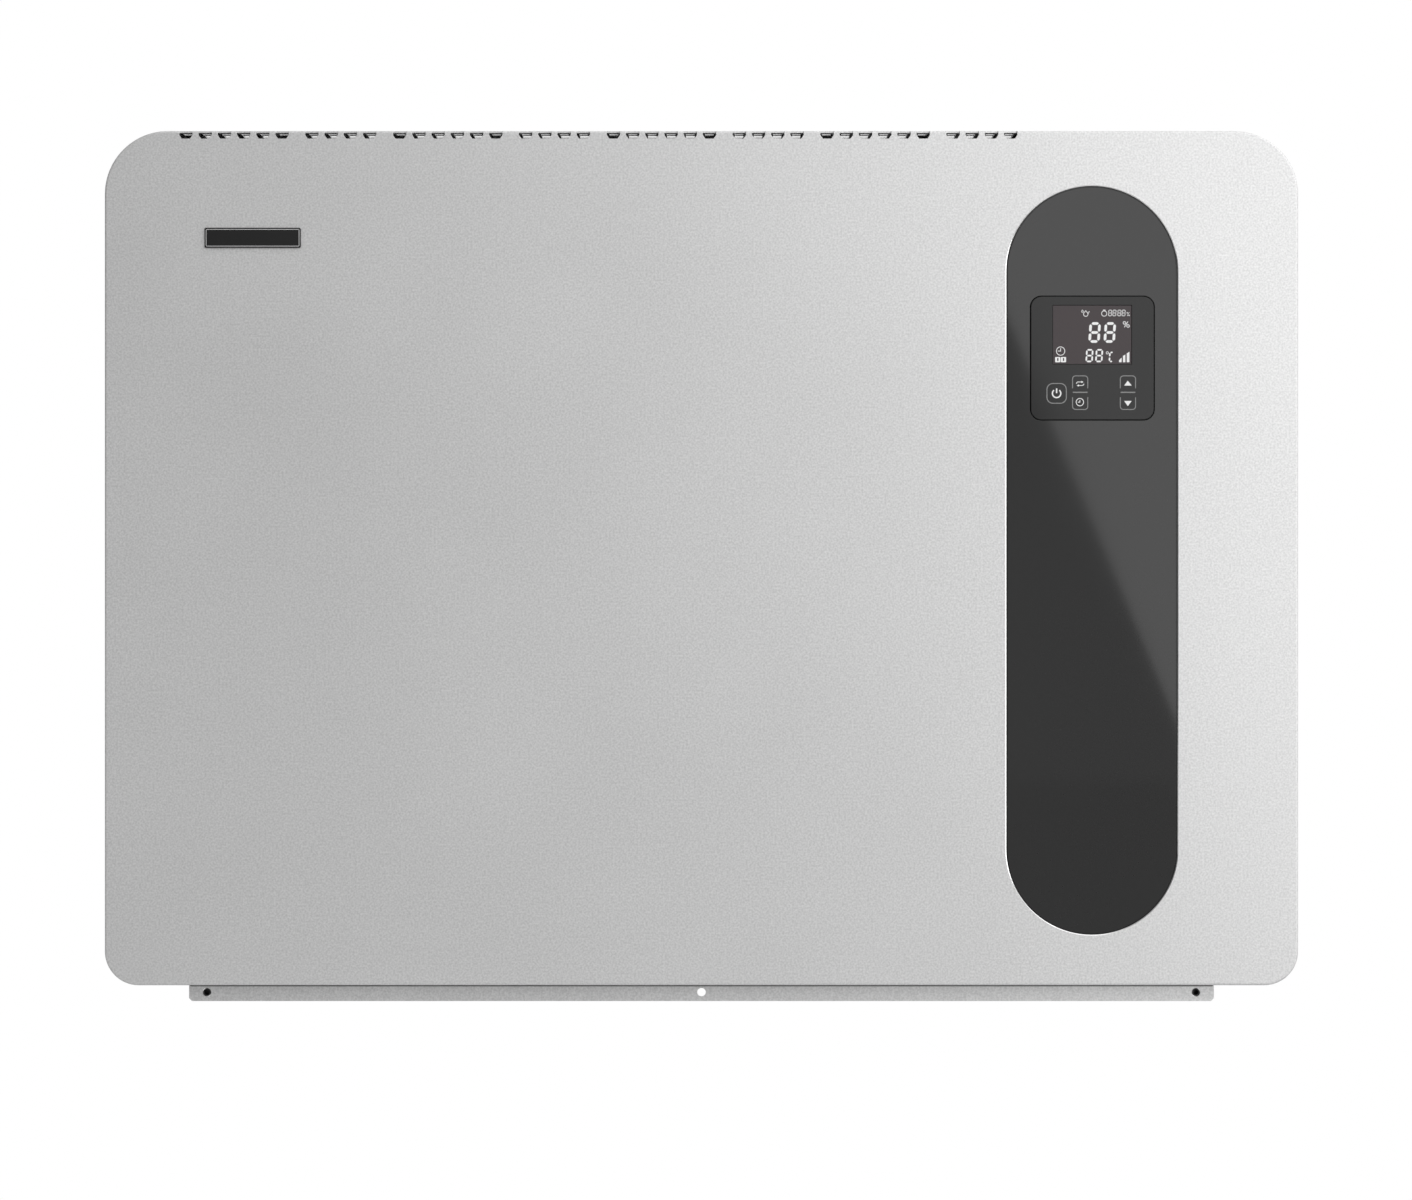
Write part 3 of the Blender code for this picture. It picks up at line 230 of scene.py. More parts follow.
LOOKS = make_looks()
LIT_MARK = look(
    "lit_segment", (0.26, 0.26, 0.26), 0.45, grain=(2000, 0.02), bump=(900, 0.000002), edge=0,
    Emission_Color=(1.0, 1.0, 1.0, 1.0), Emission_Strength=0.54,
)
# Lighter, glossier metal for the rim of the strip's cut-out: painted highlight.
HIGHLIGHT_RIM_LOOK = look("rim_painted_highlight", (0.80, 0.80, 0.80), 0.10, 1.0, grain=(900, 0.03), edge=0)
# Light grey for the line round the badge's edge: painted highlight.
BADGE_HIGHLIGHT_LOOK = look("badge_painted_highlight", (0.62, 0.62, 0.62), 0.45, 0.3, grain=(900, 0.05), edge=0)
KEY_LINE = look(
    "key_outline_ink", (0.22, 0.22, 0.22), 0.40, grain=(2500, 0.06), bump=(2500, 0.000002), edge=0,
)


# ---------------------------------------------------------------- carried-over nodes
def soft_shading():
    """Node group that welds a mesh's corners and shades it smooth, except over its real creases."""
    group = bpy.data.node_groups.new("soft_shading", "GeometryNodeTree")
    for way in ("INPUT", "OUTPUT"):
        group.interface.new_socket("Geometry", in_out=way, socket_type="NodeSocketGeometry")
    start = group.nodes.new("NodeGroupInput")
    weld = group.nodes.new("GeometryNodeMergeByDistance")
    weld.inputs["Distance"].default_value = WELD
    plain = group.nodes.new("GeometryNodeRemoveAttribute")
    plain.inputs["Name"].default_value = "custom_normal"
    bend = group.nodes.new("GeometryNodeInputMeshEdgeAngle")
    crease = group.nodes.new("FunctionNodeCompare")
    crease.operation = "GREATER_THAN"
    crease.inputs["B"].default_value = math.radians(CREASE)
    faces = group.nodes.new("GeometryNodeSetShadeSmooth")
    faces.domain = "FACE"
    edges = group.nodes.new("GeometryNodeSetShadeSmooth")
    edges.domain = "EDGE"
    edges.inputs["Shade Smooth"].default_value = False
    end = group.nodes.new("NodeGroupOutput")
    for source, target in ((start, plain), (plain, weld), (weld, faces), (faces, edges), (edges, end)):
        group.links.new(source.outputs[0], target.inputs[0])
    group.links.new(bend.outputs["Unsigned Angle"], crease.inputs["A"])
    group.links.new(crease.outputs["Result"], edges.inputs["Selection"])
    return group


def weigh_normals(made):
    made.modifiers.new("flat_faces_stay_flat", "WEIGHTED_NORMAL").keep_sharp = True


def dress_cad():
    """Give each CAD node its slot's material and smooth shading."""
    group = soft_shading()
    for part in frame["record"]["subparts"]:
        node = NODES[part["node"]]
        for holder in node.material_slots:
            holder.material = LOOKS[part["material_slot"]]
        node.modifiers.new("soft_shading", "NODES").node_group = group
        weigh_normals(node)


# ---------------------------------------------------------------- shape helpers
def circle(u, v, radius, sides=32):
    step = math.tau / sides
    return [(u + radius * math.cos(i * step), v + radius * math.sin(i * step)) for i in range(sides)]


def arc(u, v, radius, start, stop, steps):
    """Points on an arc, angles in degrees, both ends included."""
    angles = [math.radians(start + i * (stop - start) / steps) for i in range(steps + 1)]
    return [(u + radius * math.cos(a), v + radius * math.sin(a)) for a in angles]


def rounded(u_low, u_high, v_low, v_high, r_low, r_high=None, steps=8):
    """Outline with rounded corners; the lower pair and the upper pair have their own radii."""
    r_high = r_low if r_high is None else r_high
    return (
        arc(u_high - r_low, v_low + r_low, r_low, -90, 0, steps)
        + arc(u_high - r_high, v_high - r_high, r_high, 0, 90, steps)
        + arc(u_low + r_high, v_high - r_high, r_high, 90, 180, steps)
        + arc(u_low + r_low, v_low + r_low, r_low, 180, 270, steps)
    )


def along(axis, u, v, w):
    """A point with w along the named axis and u, v along the other two in X, Y, Z order."""
    return {"X": (w, u, v), "Y": (u, w, v), "Z": (u, v, w)}[axis]


def add_rings(bm, rings, closed=False):
    """Skin rings of equal length one after the other; the last meets the first, or both are capped."""
    loops = [[bm.verts.new(point) for point in ring] for ring in rings]
    count = len(loops[0])
    pairs = list(zip(loops, loops[1:]))
    if closed:
        pairs.append((loops[-1], loops[0]))
    for near, far in pairs:
        for i in range(count):
            j = (i + 1) % count
            bm.faces.new((near[i], near[j], far[j], far[i]))
    if not closed:
        bm.faces.new(loops[0])
        bm.faces.new(list(reversed(loops[-1])))


def add_prism(bm, outline, axis, start, stop):
    add_rings(bm, [[along(axis, u, v, w) for u, v in outline] for w in (start, stop)])


def add_box(bm, corner_low, corner_high):
    corners = bmesh.ops.create_cube(bm, size=1.0)["verts"]
    for vert in corners:
        vert.co = Vector(corner_high[i] if vert.co[i] > 0 else corner_low[i] for i in range(3))


def add_turned(bm, profile, middle, axis="Z", sides=48, closed=False):
    """Solid of revolution about an axis through middle; profile is (radius, place along the axis)."""
    rings = [[along(axis, u, v, w) for u, v in circle(*middle, r, sides)] for r, w in profile]
    add_rings(bm, rings, closed)


def add_dome(bm, middle, axis, base, radius, rise, sides=16):
    """Low round head, such as a rivet's, standing on base along the axis; a negative rise points back."""
    profile = [
        (radius * math.cos(a), base + rise * math.sin(a))
        for a in (math.radians(d) for d in (0, 25, 50, 75, 86))
    ]
    add_turned(bm, profile, middle, axis, sides)


def add_block(bm, corner_low, corner_high, edge=0.001, axis="Z", steps=4):
    """Box with rounded long edges and eased ends, along the named axis; no easing meets its opposite."""
    lo, hi = Vector(corner_low), Vector(corner_high)
    index = "XYZ".index(axis)
    u, v = [i for i in range(3) if i != index]
    edge = min(edge, min(hi - lo) * 0.45)
    rings = []
    for inset, w in ((edge, lo[index]), (0, lo[index] + edge), (0, hi[index] - edge), (edge, hi[index])):
        radius = edge * 1.05 - inset * 0.9
        flat = rounded(lo[u] + inset, hi[u] - inset, lo[v] + inset, hi[v] - inset, radius, steps=steps)
        rings.append([along(axis, a, b, w) for a, b in flat])
    add_rings(bm, rings)


def mesh_object(name, bm):
    bmesh.ops.remove_doubles(bm, verts=bm.verts, dist=1e-6)
    bmesh.ops.recalc_face_normals(bm, faces=bm.faces)
    mesh = bpy.data.meshes.new(name)
    bm.to_mesh(mesh)
    bm.free()
    made = bpy.data.objects.new(name, mesh)
    bpy.context.scene.collection.objects.link(made)
    return made


def carve(made, cutters):
    """Take each cutter's shape out of the object, and leave only the result."""
    for cutter in cutters:
        change = made.modifiers.new(cutter.name, "BOOLEAN")
        change.operation = "DIFFERENCE"
        change.solver = "EXACT"
        change.object = cutter
    graph = bpy.context.evaluated_depsgraph_get()
    made.data = bpy.data.meshes.new_from_object(made.evaluated_get(graph))
    made.modifiers.clear()
    for cutter in cutters:
        bpy.data.objects.remove(cutter, do_unlink=True)


def piece(name, bm, finish, body, replaced=(), cutters=(), own_look=None, crease=CREASE):
    """Finished piece: shape, material, smooth shading, the body it rides on and the nodes it stands for."""
    made = mesh_object(name, bm)
    if cutters:
        carve(made, cutters)
    made.data.materials.clear()
    made.data.materials.append(own_look or LOOKS[finish])
    made.data.shade_smooth()
    made.data.set_sharp_from_angle(angle=math.radians(crease))
    weigh_normals(made)
    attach(made, body)
    if replaced:
        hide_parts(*replaced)
    return made


def tube(name, path, radius, finish, body, replaced=(), cyclic=False):
    curve = bpy.data.curves.new(name, "CURVE")
    curve.dimensions = "3D"
    curve.bevel_depth = radius
    curve.bevel_resolution = 5
    curve.use_fill_caps = True
    spline = curve.splines.new("POLY")
    spline.points.add(len(path) - 1)
    for point, place in zip(spline.points, path):
        point.co = (*place, 1.0)
    spline.use_cyclic_u = cyclic
    spline.use_smooth = True
    curve.materials.append(LOOKS[finish])
    made = bpy.data.objects.new(name, curve)
    bpy.context.scene.collection.objects.link(made)
    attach(made, body)
    if replaced:
        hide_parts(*replaced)
    return made


# ---------------------------------------------------------------- front cover
COVER_LOW, COVER_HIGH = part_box("front_cover")
FOLD_RADIUS = 0.002          # outside radius of the fold round the front face
TOP_RADIUS = 0.053
BOTTOM_RADIUS = 0.0285
RETURN_DEPTH = 0.0197        # lip folded back under the front face
MOUTH_HALF_W = 0.440         # the cover is open below between these
SLOT_W = 0.0112              # on the front face
SLOT_TOP_W = 0.0074          # on the top
SLOT_NOTCH = 0.0030          # how far the wider front end of a slot runs back
SLOT_PITCH = 0.0161
SLOT_GROUP_PERIOD = 0.1790
SLOT_FOUR_OFFSET = 0.1055    # from the six-slot group's start to the four-slot group's
SLOT_FIRST_X = -0.4374
SLOT_DROP = 0.0067
SLOT_CHAMFER = (0.0021, 0.0031)
SLOT_ROWS = ((0.0085, 0.0150), (0.0185, 0.0315), (0.0350, 0.1440))    # behind the front face
SCREW_HOLE_R = 0.0025
STRIP_LOW, STRIP_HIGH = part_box("control_strip")
STRIP_FLANGE = 0.0080        # hidden behind the cover
STRIP_SHEET = 0.0030
STRIP_EASE = 0.0006          # width of the cut-out's sloped edge, round the strip
STRIP_EASE_DEEP = 0.00036
STRIP_REVEAL = 0.0010        # dark gap left all round the strip's raised face
STRIP_X = (STRIP_LOW.x + STRIP_HIGH.x) / 2
STRIP_R = (STRIP_HIGH.x - STRIP_LOW.x) / 2 - STRIP_FLANGE + GAP
STRIP_ENDS = (STRIP_LOW.z + STRIP_FLANGE - GAP + STRIP_R, STRIP_HIGH.z - STRIP_FLANGE + GAP - STRIP_R)
PAD_LOW, PAD_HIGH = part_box("touch_pad")
PAD_X = (PAD_LOW.x + PAD_HIGH.x) / 2
PAD_Z = (PAD_LOW.z + PAD_HIGH.z) / 2
PAD_HALF = (PAD_HIGH.x - PAD_LOW.x) / 2
PAD_RADIUS = 0.0089


def stadium(radius, steps=48):
    """The strip's outline at the given end radius."""
    lower, upper = STRIP_ENDS
    return arc(STRIP_X, upper, radius, 0, 180, steps) + arc(STRIP_X, lower, radius, 180, 360, steps)


def cover_outline(inset):
    return rounded(
        COVER_LOW.x + inset, COVER_HIGH.x - inset, COVER_LOW.z + inset, COVER_HIGH.z - inset,
        BOTTOM_RADIUS - inset, TOP_RADIUS - inset, steps=24,
    )


def fold_rings(radius, steps=6):
    """Rings round the fold between skirt and front face, for the given fold radius."""
    rings = []
    for i in range(steps + 1):
        angle = math.radians(90 * i / steps)
        inset = FOLD_RADIUS - radius * math.cos(angle)
        y = COVER_LOW.y + FOLD_RADIUS - radius * math.sin(angle)
        rings.append([(u, y, v) for u, v in cover_outline(inset)])
    return rings


def cutter(name, shapes):
    """Cutting solid made of prisms (outline, axis, start, stop)."""
    bm = bmesh.new()
    for outline, axis, start, stop in shapes:
        add_prism(bm, outline, axis, start, stop)
    return mesh_object(name, bm)


def oblong(u_low, u_high, v_low, v_high):
    return [(u_low, v_low), (u_high, v_low), (u_high, v_high), (u_low, v_high)]


def slot_groups():
    """Left edge and slot count of each group along the top."""
    groups = []
    for i in range(4):
        left = SLOT_FIRST_X + i * SLOT_GROUP_PERIOD
        groups += [(left, 6), (left + SLOT_FOUR_OFFSET, 4)]
    return groups


def front_slots():
    """Notches over the front fold, narrower at their lower end."""
    narrow, rise = SLOT_CHAMFER
    bottom, top = COVER_HIGH.z - SLOT_DROP, COVER_HIGH.z + OVER
    shapes = []
    for start, count in slot_groups():
        for i in range(count):
            left = start + i * SLOT_PITCH
            right = left + SLOT_W
            outline = [
                (left + narrow, bottom), (right - narrow, bottom), (right, bottom + rise),
                (right, top), (left, top), (left, bottom + rise),
            ]
            shapes.append((outline, "Y", COVER_LOW.y - OVER, COVER_LOW.y + SLOT_NOTCH))
    return cutter("cut_front_slots", shapes)


def top_slots():
    """Rows of slots in the top; the end slots of a group of six have only the first row."""
    shapes = []
    for start, count in slot_groups():
        for i in range(count):
            short = count == 6 and i in (0, 5)
            left = start + i * SLOT_PITCH + (SLOT_W - SLOT_TOP_W) / 2
            for near, far in SLOT_ROWS[:1] if short else SLOT_ROWS:
                flat = oblong(left, left + SLOT_TOP_W, COVER_LOW.y + near, COVER_LOW.y + far)
                shapes.append((flat, "Z", COVER_HIGH.z - OVER, COVER_HIGH.z + OVER))
    return cutter("cut_top_slots", shapes)


def strip_cutter():
    """The strip's cut-out, wider over the front face so that its edge is eased."""
    bm = bmesh.new()
    face = COVER_LOW.y
    sections = (
        (STRIP_R + 2 * STRIP_EASE, face - STRIP_EASE_DEEP), (STRIP_R, face + STRIP_EASE_DEEP),
        (STRIP_R, face + OVER),
    )
    add_rings(bm, [[(u, y, v) for u, v in stadium(radius)] for radius, y in sections])
    return mesh_object("cut_strip", bm)


def screw_places():
    """Side of the unit and the screw's centre, for each of the four cover screws."""
    return [
        (side, level, centre("cover_screw_%s_%s" % (side, level)))
        for side in ("left", "right") for level in ("low", "high")
    ]


def front_cover():
    """Folded cover, with its slots, its cut-out and its screw holes, on finer folds than the CAD."""
    bm = bmesh.new()
    outer = [[(u, COVER_HIGH.y, v) for u, v in cover_outline(0)]] + fold_rings(FOLD_RADIUS)
    inner = [[(u, COVER_HIGH.y, v) for u, v in cover_outline(SHEET)]] + fold_rings(FOLD_RADIUS - SHEET)
    add_rings(bm, list(reversed(outer)) + inner)
    mouth = oblong(-MOUTH_HALF_W, MOUTH_HALF_W, COVER_LOW.y + RETURN_DEPTH, COVER_HIGH.y + OVER)
    holes = [
        (circle(place.y, place.z, SCREW_HOLE_R, 24), "X", COVER_LOW.x - OVER, COVER_HIGH.x + OVER)
        for side, _, place in screw_places() if side == "left"
    ]
    cutters = [
        cutter("cut_mouth", [(mouth, "Z", COVER_LOW.z - OVER, COVER_LOW.z + OVER)]),
        strip_cutter(), front_slots(), top_slots(), cutter("cut_screw_holes", holes),
    ]
    piece("cover_shell", bm, "silver_paint", "cover", ["front_cover"], cutters)


def cover_stiffeners():
    """Two hat sections spot-welded inside the front face, with the dimples of their welds."""
    inner = COVER_LOW.y + SHEET + GAP
    depth, crown_half, foot_half, sheet = 0.009, 0.012, 0.022, 0.0010
    bottom, top = COVER_LOW.z + 0.050, COVER_HIGH.z - 0.070
    for name, x in (("left", -0.290), ("right", 0.040)):
        outline = [
            (x - foot_half, inner), (x - crown_half, inner),
            (x - crown_half + sheet, inner + depth - sheet), (x + crown_half - sheet, inner + depth - sheet),
            (x + crown_half, inner), (x + foot_half, inner),
            (x + foot_half, inner + sheet), (x + crown_half + sheet, inner + sheet),
            (x + crown_half, inner + depth), (x - crown_half, inner + depth),
            (x - crown_half - sheet, inner + sheet), (x - foot_half, inner + sheet),
        ]
        bm = bmesh.new()
        add_prism(bm, outline, "Z", bottom, top)
        welds = 9
        for i in range(welds):
            z = bottom + (i + 0.5) * (top - bottom) / welds
            for side in (-1, 1):
                spot = (x + side * (foot_half - 0.0045), z)
                add_dome(bm, spot, "Y", inner + sheet, 0.0022, 0.0004, 12)
        piece("cover_stiffener_" + name, bm, "galvanised", "cover")


def control_strip():
    """Gloss strip with its hidden flange and the hole for the pad."""
    face = STRIP_LOW.y
    back = STRIP_HIGH.y
    seat = back - STRIP_SHEET
    ease = 0.0003
    edge = STRIP_R - STRIP_REVEAL
    sections = (
        (edge - ease, face), (edge, face + ease), (edge, seat), (STRIP_R - GAP + STRIP_FLANGE, seat),
        (STRIP_R - GAP + STRIP_FLANGE, back),
    )
    bm = bmesh.new()
    add_rings(bm, [[(u, y, v) for u, v in stadium(radius)] for radius, y in sections])
    hole = pad_outline(GAP + 0.0004)
    piece(
        "strip_face", bm, "strip_gloss", "cover", ["control_strip"],
        [cutter("cut_pad_hole", [(hole, "Y", face - OVER, back + OVER)])],
    )


def strip_edge_highlight():
    """Rim that lines the eased edge of the cut-out, lighter and glossier than the cover's paint: a painted
    highlight, on top of the real reflection of the edge card.
    """
    face = COVER_LOW.y
    proud, seat = 0.00006, 0.0005
    low = face + STRIP_EASE_DEEP
    profile = (
        (STRIP_R + STRIP_EASE - proud, face - proud), (STRIP_R - proud, low - proud),
        (STRIP_R + seat, low + seat),
    )
    bm = bmesh.new()
    add_rings(bm, [[(u, y, v) for u, v in stadium(radius)] for radius, y in profile], closed=True)
    piece("strip_edge_highlight", bm, "silver_paint", "cover", own_look=HIGHLIGHT_RIM_LOOK)


def strip_fasteners():
    """Welded studs with flanged nuts round the strip, which clamp its flange from behind."""
    back = STRIP_HIGH.y + GAP
    radius = STRIP_R + 0.004
    places = [(STRIP_X + side * radius, STRIP_ENDS[0] + share * (STRIP_ENDS[1] - STRIP_ENDS[0]))
              for side in (-1, 1) for share in (0.0, 0.28, 0.52, 1.0)]
    places += [(STRIP_X, STRIP_ENDS[0] - radius), (STRIP_X, STRIP_ENDS[1] + radius)]
    bm = bmesh.new()
    for place in places:
        add_turned(bm, [(0.0042, back), (0.0042, back + 0.0008), (0.0034, back + 0.0012)], place, "Y", 20)
        add_prism(bm, circle(*place, 0.0032, 6), "Y", back + 0.0010, back + 0.0036)
        add_turned(bm, [(0.0014, back), (0.0014, back + 0.0062), (0.0010, back + 0.0066)], place, "Y", 12)
    piece("strip_nuts", bm, "zinc_screw", "cover")


def pad_outline(extra):
    half = PAD_HALF + extra
    return rounded(PAD_X - half, PAD_X + half, PAD_Z - half, PAD_Z + half, PAD_RADIUS + extra, steps=10)


def badge_highlight_line():
    """Thin light line let into the blank badge, just inside its edge: a painted highlight along the badge's
    edge.
    """
    bottom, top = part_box("badge_plate")
    inset, width, proud = 0.0011, 0.0005, 0.00005
    front, rear = bottom.y - proud, top.y - 0.0008
    rings = []
    for extra, y in ((0, rear), (0, front), (width, front), (width, rear)):
        off = inset + extra
        flat = rounded(bottom.x + off, top.x - off, bottom.z + off, top.z - off, 0.0011 - extra)
        rings.append([(u, y, v) for u, v in flat])
    bm = bmesh.new()
    add_rings(bm, rings, closed=True)
    piece("badge_highlight_line", bm, "aluminium", "cover", own_look=BADGE_HIGHLIGHT_LOOK)


def cover_screws():
    """Shoulder screws with a domed head and a cross recess."""
    head_r, rim, rise, shank_r, shank = 0.0042, 0.0014, 0.0012, 0.0020, 0.0085
    arm_half, arm_reach, arm_depth = 0.00045, 0.0022, 0.0012
    for side, level, place in screw_places():
        node = "cover_screw_%s_%s" % (side, level)
        sign = 1 if side == "right" else -1
        top = high(node).x if side == "right" else -low(node).x
        seat = top - rim - rise
        profile = [(shank_r, seat - shank), (shank_r, seat), (head_r - 0.0003, seat), (head_r, seat + 0.0003),
                   (head_r, seat + rim)]
        profile += [
            (head_r * math.cos(math.radians(a)), seat + rim + rise * math.sin(math.radians(a)))
            for a in (20, 40, 60, 80, 88)
        ]
        bm = bmesh.new()
        add_turned(bm, [(r, sign * w) for r, w in profile], (place.y, place.z), "X", 32)
        ends = sorted((sign * (top - arm_depth), sign * (top + OVER)))
        arms = []
        for wide, tall in ((arm_reach, arm_half), (arm_half, arm_reach)):
            flat = oblong(place.y - wide, place.y + wide, place.z - tall, place.z + tall)
            arms.append(cutter("cut_recess", [(flat, "X", *ends)]))
        piece("screw_%s_%s" % (side, level), bm, "zinc_screw", "cover", [node], arms)


# ---------------------------------------------------------------- marks on the controller
MARK_THICK = 0.0001


class Sheet:
    """Flat marks in millimetres from a corner or centre, printed on a face that looks along -Y."""

    def __init__(self, origin_x, origin_z, face_y):
        self.bm = bmesh.new()
        self.origin = (origin_x, origin_z)
        self.face = face_y

    def fill(self, outline):
        """Solid shape from its outline."""
        flat = [(self.origin[0] + u * MM, self.origin[1] + v * MM) for u, v in outline]
        add_prism(self.bm, flat, "Y", self.face - MARK_THICK, self.face)

    def line(self, points, width, closed=False):
        """Line of constant width along a polyline, mitred at its corners."""
        places = [Vector(p) for p in points]
        count = len(places)
        left, right = [], []
        for i, place in enumerate(places):
            before = places[i - 1] if (closed or i) else None
            after = places[(i + 1) % count] if (closed or i < count - 1) else None
            ahead = (after - place).normalized() if after else (place - before).normalized()
            back = (place - before).normalized() if before else ahead
            mid = (ahead + back).normalized()
            side = Vector((-mid.y, mid.x)) * (width / 2 / max(mid.dot(ahead), 0.35))
            left.append(place + side)
            right.append(place - side)
        if closed:
            self.band(left, right)
        else:
            self.fill(left + list(reversed(right)))

    def band(self, outer, inner):
        """Closed ring between two outlines of equal length."""
        rings = []
        for outline, y in ((outer, self.face), (outer, self.face - MARK_THICK),
                           (inner, self.face - MARK_THICK), (inner, self.face)):
            rings.append([(self.origin[0] + u * MM, y, self.origin[1] + v * MM) for u, v in outline])
        add_rings(self.bm, rings, closed=True)

    def ring(self, u, v, radius, width):
        self.band(circle(u, v, radius + width / 2, 36), circle(u, v, radius - width / 2, 36))

    def digit(self, u, v, wide, tall, width, slant=0.065, segments="abcdefg"):
        """Seven-segment figure whose lower-left corner is at u, v."""
        half, gap = width / 2, width * 0.24
        rows = {"a": tall - half, "g": tall / 2, "d": half}
        columns = {"f": (half, 1), "b": (wide - half, 1), "e": (half, 0), "c": (wide - half, 0)}
        for segment in segments:
            if segment in rows:
                y, start, stop = rows[segment], half + gap, wide - half - gap
                outline = [(start, y), (start + half, y + half), (stop - half, y + half), (stop, y),
                           (stop - half, y - half), (start + half, y - half)]
            else:
                x, upper = columns[segment]
                start = tall / 2 + gap if upper else half + gap
                stop = tall - half - gap if upper else tall / 2 - gap
                outline = [(x, start), (x + half, start + half), (x + half, stop - half), (x, stop),
                           (x - half, stop - half), (x - half, start + half)]
            self.fill([(u + x + slant * y, v + y) for x, y in outline])

    def clock(self, u, v, radius, width, hand):
        self.ring(u, v, radius, width)
        self.line([(u, v + hand), (u, v), (u - hand, v)], width)

    def drop(self, u, v, radius, tip, width):
        """Outline of a drop: a round belly drawn up to a point."""
        spread = 55
        belly = arc(u, v, radius, 90 + spread, 450 - spread, 20)
        self.line(belly + [(u, tip)], width, closed=True)

    def finish(self, name, slot_name, own_look):
        return piece(name, self.bm, slot_name, "cover", own_look=own_look)


def display_marks():
    """Everything a segment display can show, all lit: figures, units, drops, clock, boxes and bars."""
    window_low = low("lcd_module")
    face = window_low.y
    sheet = Sheet(window_low.x - GAP, window_low.z - GAP, face)
    for i in range(2):
        sheet.digit(29.9 + 12.74 * i, 18.2, 9.6, 17.3, 2.25)
        sheet.digit(27.5 + 8.1 * i, 1.94, 6.2, 11.06, 1.4)
    for u in (46.6, 50.2, 54.3, 57.9):
        sheet.digit(u, 40.55, 3.0, 5.3, 0.52)
    for u, v in ((60.3, 34.9), (63.3, 32.3)):
        sheet.ring(u, v, 1.1, 0.55)
    sheet.line([(63.2, 36.0), (60.1, 31.2)], 0.55)
    sheet.ring(45.9, 9.8, 0.95, 0.5)
    sheet.digit(46.9, 1.94, 4.1, 8.9, 1.35, segments="aefd")
    bars = ((55.7, 2.2, 3.5, 5.9), (59.0, 2.0, 7.2, 8.4), (62.2, 2.2, 9.3, 10.7))
    for u, reach, left_top, right_top in bars:
        sheet.fill([(u, 1.94), (u + reach, 1.94), (u + reach, right_top), (u, left_top)])
    sheet.clock(6.8, 11.3, 3.5, 0.55, 2.4)
    for u in (2.2, 7.0):
        outer = rounded(u, u + 4.4, 1.9, 6.3, 0.6, steps=4)
        inner = rounded(u + 1.7, u + 2.8, 3.0, 5.5, 0.3, steps=4)
        sheet.band(outer, inner)
    sheet.drop(27.85, 42.2, 1.85, 45.1, 0.5)
    sheet.drop(25.1, 44.4, 0.75, 45.7, 0.4)
    sheet.line([(29.6, 42.4), (30.9, 44.6)], 0.5)
    sheet.ring(43.3, 42.7, 2.2, 0.5)
    sheet.line([(42.2, 45.6), (44.5, 45.6)], 0.6)
    for u, v in ((62.6, 43.3), (64.2, 41.2)):
        sheet.ring(u, v, 0.45, 0.3)
    sheet.line([(64.4, 43.8), (62.4, 40.7)], 0.35)
    sheet.finish("display_marks", "lcd_glass", LIT_MARK)


def bracket_line(sheet, left, right, top, end, radius, width):
    """Three-sided outline with two rounded corners: closed at top, open towards end."""
    sign = 1 if top > end else -1
    inner = top - sign * radius
    turns = (180, 90, 90, 0) if sign > 0 else (180, 270, 270, 360)
    path = arc(left + radius, inner, radius, *turns[:2], 8)
    path += arc(right - radius, inner, radius, *turns[2:], 8)
    sheet.line([(left, end)] + path + [(right, end)], width)


def key_marks():
    """Touch keys: grey outlines, and lit symbols for power, mode, timer, up and down."""
    face = PAD_LOW.y
    lines = Sheet(PAD_X, PAD_Z, face)
    lines.line(rounded(-38.1, -21.85, -37.85, -21.3, 5.0, steps=8), 0.8, closed=True)
    for left, right in ((-16.65, -3.9), (23.35, 36.1)):
        bracket_line(lines, left, right, -14.9, -25.3, 2.6, 0.75)
        bracket_line(lines, left, right, -43.05, -32.8, 2.6, 0.75)
        lines.line([(left + 0.25, -28.7), (right - 0.2, -28.7)], 1.0)
    lines.finish("key_outlines", "pad_plastic", KEY_LINE)

    icons = Sheet(PAD_X, PAD_Z, face)
    icons.line(arc(-30.0, -29.6, 3.5, 130, 410, 32), 1.1)
    icons.line([(-30.0, -25.4), (-30.0, -29.4)], 1.15)
    icons.fill([(26.6, -23.05), (32.9, -23.05), (29.6, -18.9)])
    icons.fill([(26.6, -35.9), (29.6, -40.2), (32.9, -35.9)])
    mode_u, mode_v, reach, rise = -10.3, -21.5, 3.1, 1.5
    for sign in (1, -1):
        start = 90 if sign > 0 else 270
        bend = arc(mode_u - sign * (reach - rise), mode_v, rise, start, start + 90, 6)
        straight = (mode_u + sign * 1.2, mode_v + sign * rise)
        icons.line([straight] + bend, 0.55)
        tip = mode_u + sign * 2.8
        icons.fill([(tip - sign * 1.7, mode_v + sign * (rise + 1.0)), (tip, mode_v + sign * rise),
                    (tip - sign * 1.7, mode_v + sign * (rise - 1.0))])
    icons.clock(-10.5, -36.9, 3.1, 0.6, 1.7)
    icons.finish("key_symbols", "pad_plastic", LIT_MARK)


# ---------------------------------------------------------------- back of the unit
# Size of the black bead that draws the shadow under the cover's lower edge: painted shade.
SHADOW_BEAD_THICK = 0.0012
SHADOW_BEAD_HIGH = 0.0031


